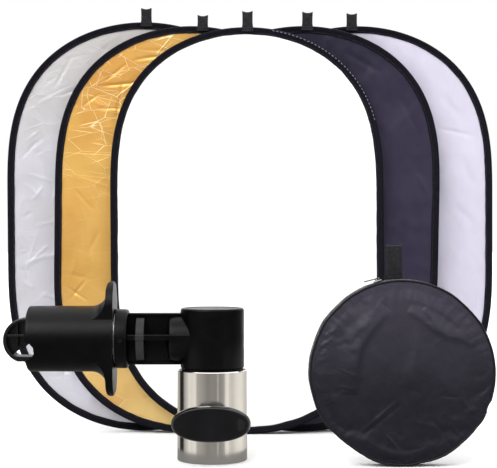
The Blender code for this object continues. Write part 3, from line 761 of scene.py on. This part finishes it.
def build_discs():
    for index, (name, width, height, lean, loop_x) in enumerate(DISCS):
        place = Leaning(name, lean)
        build_face(name, width, height, place)
        build_binding(name, width, height, place, 3.7 * index + 1)
        if name == "diffuser":
            build_glint_stitches(width, height, place)
        build_loop(name, width, height, place, loop_x)
        dress(SPRING, f"{name}_spring_hoop", f"{name}_hoop_ferrule")


# ---------------------------------------------------------------- clip


def clip_offset():
    low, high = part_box("socket_tube")
    return ((low.x + high.x) / 2, (low.y + high.y) / 2, 0.0)


def clip_piece(name, mesh, mat, body, node, angle=32):
    """Moves a mesh made round the tube's own axis to its place, as a piece."""
    mesh.transform(Matrix.Translation(clip_offset()))
    obj = finished(name, mesh, mat, body, [node], angle)
    obj.modifiers.new("weighted", "WEIGHTED_NORMAL").keep_sharp = True


def bore(radius, start, end, axis, centre, steps=48):
    """A plain round cutter or bar."""
    return turned(((radius, start), (radius, end)), axis, centre, steps=steps)


def build_tube():
    """Steel socket tube with broken edges and its screw hole."""
    profile = mm((66.8, 0), (68, 1.2), (68, 173.6), (66.6, 175), (65.2, 175), (65, 174.6), (65, 0))
    tube = turned(profile, "Z", hollow=True, steps=192)
    tube = carved(tube, [("DIFFERENCE", bore(0.0163, -0.085, -0.055, "Y", (0.0, SCREW_Z)), 0)])
    clip_piece("socket_tube_shell", tube, STEEL, "stand_socket", "socket_tube")


def build_arm():
    """Swivel head, ribbed arm and collar in one moulding."""
    head = turned(
        mm(
            (60, 178.7), (61.8, 180), (62, 183), (62, 290), (61.2, 292.5), (59.5, 294.2), (57.5, 294.6),
            (52, 294.6), (52, 286), (16, 286), (16, 262), (8.3, 262), (8.3, 178.7),
        ),
        "Z", hollow=True, steps=160,
    )
    web = block((-0.180, -0.005, ARM_Z - 0.0497), (-0.040, 0.005, ARM_Z + 0.0497))
    flanges = [block((-0.166, -0.012, ARM_Z + z), (-0.050, 0.012, ARM_Z + z + 0.0047)) for z in (0.0452, -0.0499)]
    rib = block((-0.179, -0.046, ARM_Z - 0.0004), (-0.041, 0.046, ARM_Z + 0.0104))
    ring = bore(0.0440, -0.1470, -0.1310, "X", ARM_AXIS, 96)
    dome = [(0.0440 * math.sin(math.radians(a)), -0.0795 - 0.0110 * math.cos(math.radians(a))) for a in range(6, 85, 6)]
    cone = turned(dome + [(0.0440, -0.0780), (0.0455, -0.0720), (0.0475, -0.0320)], "X", ARM_AXIS)
    collar = mm((57.5, -187), (57.5, -168), (56, -164), (54, -163))
    arm = carved(
        head,
        [
            ("UNION", web, 0.0012), ("UNION", flanges[0], 0.0015), ("UNION", flanges[1], 0.0015),
            ("UNION", rib, 0.0018), ("UNION", ring, 0.0012), ("UNION", cone, 0.001),
            ("UNION", turned(collar, "X", ARM_AXIS, steps=128), 0.0006),
            ("DIFFERENCE", bore(0.0183, -0.190, -0.1665, "X", ARM_AXIS), 0), ("DIFFERENCE", pin_hole(), 0),
        ],
    )
    clip_piece("arm_moulding", arm, ARM_NYLON, "swivel_arm", "swivel_arm")


def pin_hole():
    """The hole through collar and shank."""
    return bore(0.0043, -0.07, 0.07, "Y", (PIN_X, ARM_Z), 32)


def from_hook(*outline):
    """Points given in millimetres from the hook's middle."""
    return [(HOOK_MIDDLE[0] + u, HOOK_MIDDLE[1] + v) for u, v in mm(*outline)]


def build_hook():
    """Hook: a domed C with a web and a cross rib, on a round shank."""
    x, z = HOOK_MIDDLE
    outer, inner = 0.0435, 0.0435 - 0.0075
    band = arc(outer, 75, 248, 48, HOOK_MIDDLE) + arc(inner, 248, 75, 48, HOOK_MIDDLE)
    web = arc(inner + 0.0037, 75, 226, 30, HOOK_MIDDLE) + from_hook(
        (-11.3, -16.2), (-1.6, -12.7), (3.3, -8), (22, -8), (22, 26)
    )
    lip = from_hook(
        (-24, -29), (-14, -31), (11, -31.5), (11, -37), (4, -41), (-16, -40.8), (-26, -33)
    )
    rib = block((x - 0.040, -0.0245, z + 0.0065), (x + 0.020, 0.0245, z + 0.0115))
    upright = block((x - 0.0185, -0.0215, z - 0.012), (x - 0.0145, 0.0215, z + 0.036))
    hook = carved(
        prism(band, "Y", -0.026, 0.026),
        [
            ("UNION", prism(web, "Y", -0.008, 0.008), 0.0008), ("UNION", prism(lip, "Y", -0.024, 0.024), 0.0008),
            ("UNION", rib, 0.001), ("UNION", upright, 0.001),
            ("UNION", bore(0.018, -0.3425, -0.1673, "X", ARM_AXIS, 64), 0.0006), ("DIFFERENCE", pin_hole(), 0),
        ],
        bevel=0.0022,
    )
    clip_piece("hook_moulding", hook, HOOK_NYLON, "swivel_arm", "hook")


def build_sleeve():
    """Sleeve: tube with two finger ears and the notch that closes on a disc's rim."""
    tube = turned(
        mm(
            (58, -357.5), (60, -357.7), (62.2, -356.5), (63.4, -354), (63.8, -351),
            (64, -300), (64, -190), (18.5, -190), (18.5, -338), (58, -338),
        ),
        "X", ARM_AXIS, hollow=True, steps=160,
    )
    face = -0.190 - 0.0145
    flare = [(0.0600, face - 0.0420)] + [(z, x) for x, z in reversed(arc(0.030, 0, -90, 20, (face - 0.030, 0.094)))]
    flare += [(0.1040, face + 0.0003), (0.1090, face + 0.0018), (0.1113, face + 0.0050), (0.1120, face + 0.0085)]
    flare += mm((111.8, -194.5), (110.5, -191.5), (107, -190.2), (60, -190))
    end_view = arc(0.050, 0, 180, 32, (0.0, ARM_Z + 0.062)) + arc(0.050, 180, 360, 32, (0.0, ARM_Z - 0.062))
    flared = turned(flare, "X", ARM_AXIS, hollow=True, steps=160)
    ears = carved(flared, [("INTERSECT", prism(end_view, "X", -0.27, -0.17), 0)])
    notch = from_hook(
        (-11, 4), (1, 2), (13, -3), (20.5, -11), (21.5, -22), (19, -30), (12, -34), (-11, -39)
    )
    sleeve = carved(
        tube,
        [
            ("UNION", ears, 0.0016),
            ("DIFFERENCE", bore(0.0580, -0.328, -0.17, "X", ARM_AXIS, 128), 0),
            ("DIFFERENCE", prism(notch, "Y", -0.08, 0.08), 0.001),
        ],
    )
    clip_piece("sleeve_moulding", sleeve, BLACK_NYLON, "trigger_sleeve", "sleeve")


def build_knob():
    """Knob: an oval pillow with a beaded edge and a slightly dished face."""
    sections = (
        (0.0, 0.60), (0.06, 0.72), (0.14, 0.83), (0.26, 0.93), (0.40, 0.985), (0.52, 1.0), (0.64, 0.995), (0.76, 0.972),
        (0.88, 0.93), (0.96, 0.885), (0.995, 0.84), (0.985, 0.79), (0.955, 0.75), (0.93, 0.66), (0.905, 0.46),
        (0.895, 0.2), (0.89, 0.03),
    )
    half_wide, half_tall, waist = 0.0750, 0.0345, 0.7
    turns = [TAU * k / 128 for k in range(128)]
    rings = []
    for share, size in sections:
        y = -0.0845 - 0.0275 * share
        wide, tall = half_wide - (1 - size) * half_tall, half_tall * size
        if size < waist:
            wide = tall * (half_wide - (1 - waist) * half_tall) / (half_tall * waist)
        full = 2 / (2.0 + 0.18 * smooth_step((size - waist) / 0.25))
        across = [math.copysign(abs(math.cos(t)) ** full, math.cos(t)) for t in turns]
        upward = [math.copysign(abs(math.sin(t)) ** full, math.sin(t)) for t in turns]
        rings.append([(wide * c, y, 0.082 + tall * u) for c, u in zip(across, upward)])
    knob = carved(loft("knob", rings), [("DIFFERENCE", bore(0.0123, -0.08, -0.1003, "Y", (0.0, SCREW_Z)), 0)])
    clip_piece("knob_moulding", knob, GLOSS, "thumb_screw", "screw_knob", 50)


def build_spring():
    """The return spring, wound from round wire with closed ends, on a mesh of its own. On the real clip it shortens as
    the sleeve is pulled.
    """
    low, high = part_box("return_spring")
    wire = 0.0029
    y, z = (low.y + high.y) / 2, (low.z + high.z) / 2
    radius = (high.z - low.z) / 2 - 0.003
    start, end = low.x + wire, high.x - wire
    closed = 0.0064
    turns, rings = 8.5, []
    steps = int(turns * 40)
    for k in range(steps + 1):
        turn = turns * k / steps
        along = start + closed * min(turn, 1.0) + closed * max(turn - turns + 1.0, 0.0)
        along += (end - start - 2 * closed) * min(max((turn - 1.0) / (turns - 2.0), 0.0), 1.0)
        a = TAU * turn
        ring = []
        for j in range(12):
            b = TAU * j / 12
            reach = radius + wire * math.cos(b)
            ring.append((along + wire * math.sin(b), y + reach * math.cos(a), z + reach * math.sin(a)))
        rings.append(ring)
    mesh = loft("return_coil", rings)
    coil = finished("return_coil", mesh, SPRING, "swivel_arm", ["return_spring"], 60)
    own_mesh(coil)


def build_clip():
    build_tube()
    build_arm()
    build_hook()
    build_sleeve()
    build_knob()
    build_spring()
    dress(BLACK_NYLON, "socket_core", "friction_washer", "head_cap")
    dress(SPRING, "pivot_bolt", "pivot_nut", "spring_washer", "screw_stem")
    dress(BRASS, "screw_bush")
    dress(DARK_STEEL, "shank_pin")
    dress(WHITE_NYLON, "pressure_pad")


# ---------------------------------------------------------------- bag


def bag_middle():
    panel_low, panel_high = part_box("bag_front_panel")
    low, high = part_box("bag_gusset")
    return np.array([(panel_low.x + panel_high.x) / 2, (low.y + high.y) / 2, BAG_RADIUS])


# Where the bag's rim is pressed in: middle and half width in degrees, depth in metres
DENTS = (
    (-126, 18, 0.0046), (-48, 15, 0.0012), (-21, 4, 0.0026), (139, 16, 0.0010), (45, 12, 0.0014), (-97, 3, 0.0010),
)


def bag_edge(turn):
    """How far the soft rim strays from its circle, in metres."""
    turn = np.asarray(turn, float)
    slow = cloud(np.cos(turn) * 1.7, np.sin(turn) * 1.7, 1.0, 4.2, 2)
    quick = cloud(np.cos(turn) * 7, np.sin(turn) * 7, 1.0, 8.1, 2)
    degrees = np.degrees(np.arctan2(np.sin(turn), np.cos(turn)))
    zipped = smooth_step((degrees + 30) / 12) * smooth_step((122 - degrees) / 12)
    stray = (0.0018 * slow + 0.0010 * quick - 0.0008) * (1 - 0.8 * zipped)
    for middle, half, depth in DENTS:
        stray = stray - depth * np.clip(1 - ((degrees - middle) / half) ** 2, 0, 1)
    return stray


def settled(points, faces, pinned, slack):
    """Lets a pinned panel with spare cloth in it hang under its weight, and gives its points back."""
    scene = bpy.context.scene
    obj = helper(from_arrays("hanging", points, faces))
    obj.vertex_groups.new(name="pins").add(pinned, 1.0, "REPLACE")
    cloth = obj.modifiers.new("cloth", "CLOTH")
    for setting, value in (
        ("quality", 6), ("mass", 0.12), ("tension_stiffness", 20), ("compression_stiffness", 20),
        ("shear_stiffness", 8), ("bending_stiffness", 0.6), ("air_damping", 3), ("shrink_min", -slack),
        ("vertex_group_mass", "pins"), ("use_pressure", True), ("uniform_pressure_force", 0.5),
    ):
        setattr(cloth.settings, setting, value)
    cloth.settings.effector_weights.gravity = 0.012
    cloth.collision_settings.use_collision = False
    cloth.point_cache.frame_start = 1
    cloth.point_cache.frame_end = HANG_FRAMES
    for frame_number in range(1, HANG_FRAMES + 1):
        scene.frame_set(frame_number)
    evaluated = obj.evaluated_get(bpy.context.evaluated_depsgraph_get())
    moved = np.array([v.co for v in evaluated.data.vertices])
    scene.frame_set(1)
    bpy.data.objects.remove(obj, do_unlink=True)
    return moved


def bag_crown(share):
    return 0.0195 + 0.0085 * np.clip(1 - share**2, 0, 1) ** 0.8


def bag_fullness(side, x, z, share):
    """How far one panel stands out, with the gathers along its seam."""
    turn = np.arctan2(z, x)
    crown = bag_crown(share)
    seam = (1 - share) * BAG_RADIUS
    gathers = cloud(np.cos(turn) * 13, np.sin(turn) * 13, 1.0, 5.0 + side, 2) * np.exp(-seam / 0.022)
    return crown + 0.0016 * gathers * smooth_step(seam / 0.006)


def long_fold(u, v, path, port, starboard, high):
    """Height of one fold along a polyline, with its own half width on each side of the walk, fading at both ends."""
    lengths = [math.dist(one, two) for one, two in zip(path, path[1:])]
    total = sum(lengths)
    nearest = np.full(u.shape, 1e9)
    height = np.zeros(u.shape)
    run = 0.0
    for (u0, v0), (u1, v1), length in zip(path, path[1:], lengths):
        du, dv = (u1 - u0) / length, (v1 - v0) / length
        t = np.clip((u - u0) * du + (v - v0) * dv, 0, length)
        gap = np.hypot(u - u0 - t * du, v - v0 - t * dv)
        wide = np.where((u - u0) * dv - (v - v0) * du < 0, port, starboard)
        ends = np.sin(np.clip((run + t) / total, 0, 1) * math.pi) ** 0.6
        height = np.where(gap < nearest, high * ends * np.exp(-((gap / wide) ** 2)), height)
        nearest = np.minimum(gap, nearest)
        run += length
    return height


# The bag panel's folds, in millimetres: (x, z) along each, half width to its left and its right, height
BAG_FOLDS = mm(
    (
        ((-28, 122), (-44, 102), (-64, 80), (-82, 50), (-90, 12), (-94, -40)),
        9.5, 28, 9.6,
    ),
    (((-60, 98), (-86, 82), (-104, 56)), 6, 12, 2.6),
    (
        ((10, 118), (36, 104), (60, 84), (86, 72), (112, 66), (138, 52)),
        20, 7.5, 8.4,
    ),
    (((40, 124), (56, 104), (72, 74)), 10, 5, 3.6),
    (((-6, 140), (34, 136), (76, 116), (122, 80)), 14, 6, 2.6),
    (((70, -4), (80, -26), (66, -42)), 6, 4, 1.2),
    (((34, 98), (30, 40), (12, -30)), 30, 16, 4.2),
    (((-78, -110), (-44, -82), (-8, -50)), 3.4, 2.6, 1.5),
    (((-74, -117), (-40, -89), (-2, -57)), 2.6, 3.4, -1.2),
    (((-16, -168), (-30, -140), (-20, -110)), 8, 14, 1.6),
    (((168, -46), (152, -62), (148, -74)), 3, 4, 2.2),
    (((-150, 50), (-120, 94), (-70, 124)), 10, 14, 2),
)
# Crumples where its rim is gathered on the left, as in CREASES
BAG_CRUMPLES = mm(
    (-160, 46, -130, 66, 3.5, 2), (-158, 36, -136, 62, 3, -1.6),
    (-164, 20, -138, 30, 4, 1.4), (-150, 70, -122, 84, 3.5, 1.6),
)


def bag_folds(side, x, z, share):
    """The lasting folds of one panel. The back has the front's, seen from its own side."""
    rng = random.Random(f"bag {side}")
    fade = smooth_step((1 - share) * BAG_RADIUS / 0.022)
    u, v = (x, z) if side < 0 else (-x, z)
    total = 0.0020 * cloud(u, v, 11, 6.0 * side, 3) + 0.0007 * cloud(u, v, 34, 3.0 * side, 3)
    for path, port, starboard, high in BAG_FOLDS:
        total += long_fold(u, v, path, port, starboard, high)
    small = list(BAG_CRUMPLES)
    for _ in range(26):
        turn, reach = rng.uniform(0, TAU), rng.uniform(0.55, 0.97) * 0.160
        tilt, long = turn + rng.uniform(-0.9, 0.9), rng.uniform(0.008, 0.026)
        a, b = reach * math.cos(turn), reach * math.sin(turn)
        du, dv = long * math.cos(tilt), long * math.sin(tilt)
        wide, high = rng.uniform(0.0028, 0.006), rng.choice((-1, 1)) * rng.uniform(0.0005, 0.0012)
        small.append((a - du, b - dv, a + du, b + dv, wide, high))
    return fade * (total + ridges(u, v, small))


def finer(points, count):
    """The grid with a smooth point between each pair, in both directions."""
    grid = points.reshape(count, count, 3)
    for _ in range(2):
        padded = np.concatenate([2 * grid[:1] - grid[1:2], grid, 2 * grid[-1:] - grid[-2:-1]])
        between = (9 * (padded[1:-2] + padded[2:-1]) - padded[:-3] - padded[3:]) / 16
        fuller = np.empty((2 * len(grid) - 1, *grid.shape[1:]))
        fuller[::2], fuller[1::2] = grid, between
        grid = np.swapaxes(fuller, 0, 1)
    return grid.reshape(-1, 3)


def held_within(depth, flattest, deepest, soft):
    """Depths kept between two limits, easing into each over soft."""
    over, under = depth - deepest, flattest - depth
    depth = np.where(over > -soft, deepest - soft * np.exp(-(over + soft) / soft), depth)
    return np.where(under > -soft, flattest + soft * np.exp(-(under + soft) / soft), depth)


def panel_faces(count, side):
    faces = grid_faces(count, count)
    return [face[::-1] for face in faces] if side < 0 else faces


def bag_panel(name, side, middle):
    """One panel: cut with spare cloth, hung from its rim, then held inside the depth of the bag."""
    count = 121
    x, z, share = disc_grid(count, count)
    far = PANEL_RADIUS + bag_edge(np.arctan2(z, x))
    y = bag_fullness(side, x * BAG_RADIUS, z * BAG_RADIUS, share)
    start = np.stack([x * far, side * y, z * far], axis=-1).reshape(-1, 3)
    rim = np.flatnonzero(share.ravel() > 0.985).tolist()
    x, y, z = finer(settled(start, panel_faces(count, side), rim, BAG_SLACK), count).T
    count = 2 * count - 1
    share = disc_grid(count, count)[2].ravel()
    # The padding holds the middle to its crown, and leaves the cloth near the seam as it hung.
    hold = 0.88 * smooth_step((1 - share) / 0.42)
    depth = side * y * (1 - hold) + bag_crown(share) * hold
    depth += bag_folds(side, x, z, share)
    depth = held_within(depth, 0.0075 + 0.012 * smooth_step((share - 0.75) / 0.2), 0.0378, 0.003)
    points = np.stack([x, side * depth, z], axis=-1)
    mesh = from_arrays(f"bag_{name}_shell", points + middle, panel_faces(count, side))
    panel = finished(f"bag_{name}_shell", mesh, BAG, "bag", [f"bag_{name}_panel"], 180)


def build_bag():
    middle = bag_middle()
    for name, side in (("front", -1), ("back", 1)):
        bag_panel(name, side, middle)
        build_welt(name, side, middle)
    build_gusset(middle)
    build_zip(middle)
    # Carrying loop behind the top of the rim.
    low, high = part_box("bag_hang_loop")
    path = loop_path(0.006, low.z + 0.002, high.z + 0.0050)
    offset = ((low.x + high.x) / 2 + 0.0016, (low.y + high.y) / 2, 0)
    build_strap("bag", "bag", "bag_hang_loop", 0.0318, path, 0.0008, 0.0026, lambda rings: rings + offset)


def build_welt(name, side, middle):
    """Corded piping round one edge of the bag, puckered by its stitches."""
    rings = []
    turns = np.linspace(0, TAU, 360, endpoint=False)
    for turn, stray in zip(turns, bag_edge(turns)):
        pucker = noise.fractal((math.cos(turn) * 40, math.sin(turn) * 40, 3.0 + side), 1.0, 2.0, 2)
        size = 0.0023 * (1 + 0.14 * pucker)
        radius = min(WELT_RADIUS + stray, BAG_RADIUS - 0.0024)
        ring = []
        for k in range(10):
            a = TAU * k / 10
            reach = radius + size * math.cos(a)
            ring.append((reach * math.cos(turn), side * 0.0203 + size * math.sin(a), reach * math.sin(turn)))
        rings.append(np.array(ring) + middle)
    mesh = loft(f"bag_{name}_welt", rings, closed=True)
    finished(f"bag_{name}_welt", mesh, WELT, "bag", [f"bag_{name}_piping"], 180)


def band_rings(start, end, count, half, bulge, thick, middle, seed):
    """A strip round the bag's edge from start to end degrees, as lens-shaped sections."""
    rings = []
    across = np.linspace(-1, 1, 11)
    for turn in np.radians(np.linspace(start, end, count)):
        stray = float(bag_edge(np.array([turn]))[0])
        ring = []
        for inner in (0, 1):
            for u in across[:: 1 - 2 * inner]:
                crease = noise.fractal((turn * 9, u * 1.3, seed), 1.0, 2.0, 3)
                lift = bulge * (1 - u * u) + 0.0007 * crease * (1 - u * u)
                reach = min(BAND_RADIUS + stray + lift, BAG_RADIUS + 0.0004) - inner * thick
                ring.append((reach * math.cos(turn), u * half, reach * math.sin(turn)))
        rings.append(np.array(ring) + middle)
    return rings


def build_gusset(middle):
    rings = band_rings(110.3, 335.7, 260, 0.0182, 0.0012, 0.0012, middle, 2.0)
    mesh = loft("bag_edge_band", rings)
    finished("bag_edge_band", mesh, BAND, "bag", ["bag_gusset"], 60)


def build_zip(middle):
    """Two tapes, a row of teeth between them, and the slider with its pull."""
    parts = []
    for side in (-1, 1):
        rings = np.array(band_rings(-23.9, 109.9, 160, 0.0080, 0.0002, 0.0010, middle, 5.0 + side))
        rings[..., 1] += side * 0.0098
        parts.append(loft("tape", rings))
    finished("bag_zip_tapes", merged("bag_zip_tapes", parts), ZIP_TAPE, "bag", ["bag_zip"], 60)
    teeth = []
    for k in range(136):
        turn = math.radians(-23 + 132 * k / 135)
        side = 1 if k % 2 else -1
        reach = TEETH_RADIUS + float(bag_edge(np.array([turn]))[0])
        out = Vector((math.cos(turn), 0, math.sin(turn)))
        point = Vector(middle) + out * reach + Vector((0, side * 0.0007, 0))
        teeth.append((point, (0, 1, 0), out))
    mesh = stitches("bag_zip_teeth", teeth, 0.0046, 0.0024)
    finished("bag_zip_teeth", mesh, ZIP_METAL, "bag", (), 180)
    turn = math.radians(SLIDER_TURN)

    def on_rim(mesh, reach):
        """From (along the rim, across it, out of it) to its place on the bag."""
        for vert in mesh.vertices:
            along, across, out = vert.co
            x = (reach + out) * math.cos(turn) + along * math.sin(turn)
            z = (reach + out) * math.sin(turn) - along * math.cos(turn)
            vert.co = (middle[0] + x, middle[1] + across, middle[2] + z)
        mesh.update()
        return facing_out(mesh)

    ears = [block((x, -0.0022, 0.0020), (x + 0.0027, 0.0022, 0.0078)) for x in (-0.0045, 0.0018)]
    body = block((-0.008, -0.0065, 0.0004), (0.008, 0.0065, 0.0030))
    body = carved(body, [("UNION", ear, 0.0005) for ear in ears], bevel=0.0009)
    slider = on_rim(body, BAG_RADIUS)
    finished("zip_slider_body", slider, ZIP_METAL, "zip_slider", ["zip_slider"], 40)
    outline = arc(0.0045, 270, 90, 12, (-0.0215, 0.0)) + [(0.0008, 0.0030), (0.0008, -0.0030)]
    slot = [(-0.0235, -0.0016), (-0.0235, 0.0016), (-0.016, 0.0016), (-0.016, -0.0016)]
    pull = carved(
        prism(outline, "Z", -0.0009, 0.0009), [("DIFFERENCE", prism(slot, "Z", -0.004, 0.004), 0)], bevel=0.0004
    )
    pull = on_rim(pull, BAG_RADIUS + 0.0068)
    finished("zip_pull_tab", pull, DARK_STEEL, "zip_pull", ["zip_pull"], 40)


# ---------------------------------------------------------------- stage


def light_room():
    """A white room to the camera. For light it is dim, with a soft box overhead and one to the front left."""
    world = bpy.data.worlds.new("studio")
    bpy.context.scene.world = world
    world.use_nodes = True
    room = Nodes(world.node_tree)

    def window(value, low, high, soft):
        """1 between low and high, falling to 0 over soft on each side."""
        rise = room.span(value, low - soft, low, interpolation_type="SMOOTHSTEP")
        fall = room.span(value, high, high + soft, 1.0, 0.0, interpolation_type="SMOOTHSTEP")
        return room.math("MULTIPLY", rise, fall)

    toward = room.add("SeparateXYZ", {0: room.add("TexCoord").outputs["Generated"]}).outputs
    ahead = room.math("MULTIPLY", toward["Y"], -1.0)
    azimuth = room.math("MULTIPLY", room.math("ARCTAN2", toward["X"], ahead), 180 / math.pi)
    total = None
    for azimuths, heights, soft, level in (
        ((-400, 400), (-2, 2), 0.1, ROOM_LEVEL),
        ((-400, 400), (0.72, 2), 0.16, TOP_LEVEL),
        ((-60, -12), (0.44, 0.80), 0.08, KEY_LEVEL),
        ((24, 66), (0.20, 0.60), 0.10, FILL_LEVEL),
        ((130, 230), (0.30, 0.70), 0.10, FILL_LEVEL),
    ):
        panel = room.math("MULTIPLY", window(azimuth, *azimuths, 8.0), window(toward["Z"], *heights, soft))
        panel = room.math("MULTIPLY", panel, level)
        total = panel if total is None else room.math("ADD", total, panel)
    to_camera = room.add("LightPath").outputs["Is Camera Ray"]
    strength = room.add("Mix", {0: to_camera, 2: total, 3: 1.0}, data_type="FLOAT")
    background = world.node_tree.nodes["Background"]
    room.feed(background.inputs["Color"], (1.0, 1.0, 1.0, 1.0))
    room.feed(background.inputs["Strength"], strength.outputs[0])


def card_turn(share):
    """The turn round the tube at which a card shows at this share of the tube's half width."""
    normal = math.asin(share)
    start = Vector((TUBE_RADIUS * math.sin(normal), TUBE_RADIUS * math.cos(normal)))
    ray = Vector((math.sin(2 * normal), math.cos(2 * normal)))
    reach = -start.dot(ray) + math.sqrt(start.dot(ray) ** 2 + CARD_RADIUS**2 - start.length_squared)
    hit = start + ray * reach
    return math.atan2(hit.x, hit.y)


def tube_cards():
    """Cards round the steel tube that only its shine sees: cream, grey and black stripes."""
    stripes = (
        (-0.985, 0.62), (-0.925, 0.50), (-0.905, 0.02), (-0.815, 0.02), (-0.785, 0.45), (-0.70, 0.74), (-0.638, 1.02),
        (-0.58, 0.86), (-0.52, 0.96), (-0.45, 0.94), (-0.425, 0.49), (-0.35, 0.46), (-0.23, 0.37), (-0.116, 0.27),
        (0.0, 0.31), (0.116, 0.29), (0.155, 0.32), (0.165, 0.62), (0.185, 0.60), (0.195, 0.30), (0.26, 0.32),
        (0.32, 0.38), (0.36, 0.46), (0.385, 0.90), (0.464, 0.99), (0.505, 0.74), (0.58, 0.70), (0.667, 0.88),
        (0.754, 1.0), (0.84, 1.0), (0.928, 0.74), (0.986, 0.60),
    )
    points, levels = [], []
    for share, level in stripes:
        turn = card_turn(share)
        for z in (0.001, 0.205):
            points.append((CARD_RADIUS * math.sin(turn), -CARD_RADIUS * math.cos(turn), z))
            levels.append(level)
    faces = [(2 * k, 2 * k + 1, 2 * k + 3, 2 * k + 2) for k in range(len(stripes) - 1)]
    mesh = from_arrays("tube_cards", points, faces)
    mesh.attributes.new("level", "FLOAT", "POINT").data.foreach_set("value", levels)
    mat = bpy.data.materials.new("card_glow")
    mat.use_nodes = True
    mat.node_tree.nodes.clear()
    glow = Nodes(mat.node_tree)
    level = glow.add("Attribute", attribute_name="level").outputs["Fac"]
    shine = glow.add("Emission", {"Color": (1.0, 0.975, 0.93, 1.0), "Strength": level})
    glow.add("OutputMaterial", {"Surface": shine.outputs[0]})
    mesh.materials.append(mat)
    cards = linked("tube_cards", mesh)
    cards.location = clip_offset()
    for kind in ("camera", "diffuse", "shadow", "transmission", "volume_scatter"):
        setattr(cards, f"visible_{kind}", False)


def build_stage():
    floor_mesh = from_arrays("floor", [(-30, -30, 0), (30, -30, 0), (30, 30, 0), (-30, 30, 0)], [(0, 1, 2, 3)])
    paper = Paint("floor_paper", (0.90, 0.90, 0.90), 0.9)
    paper.colour(paper.blend(paper.noise(3, 3), (0.90, 0.90, 0.90), (0.88, 0.88, 0.88)))
    floor_mesh.materials.append(paper.mat)
    floor = linked("floor", floor_mesh)
    floor.location.z = -0.0004
    floor.visible_glossy = False

    light_room()
    tube_cards()

    low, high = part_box("diffuser_binding")
    data = bpy.data.cameras.new("camera")
    data.sensor_width = 36.0
    data.sensor_fit = "HORIZONTAL"
    data.lens = LENS
    camera = linked("camera", data)
    camera.location = ((low.x + high.x) / 2 + 0.003, (low.y + high.y) / 2 - CAMERA_GAP, CAMERA_Z)
    camera.rotation_euler = (math.radians(90), 0, 0)
    bpy.context.scene.camera = camera
    bpy.context.scene.view_settings.view_transform = "Standard"


build_discs()
build_clip()
build_bag()
build_stage()
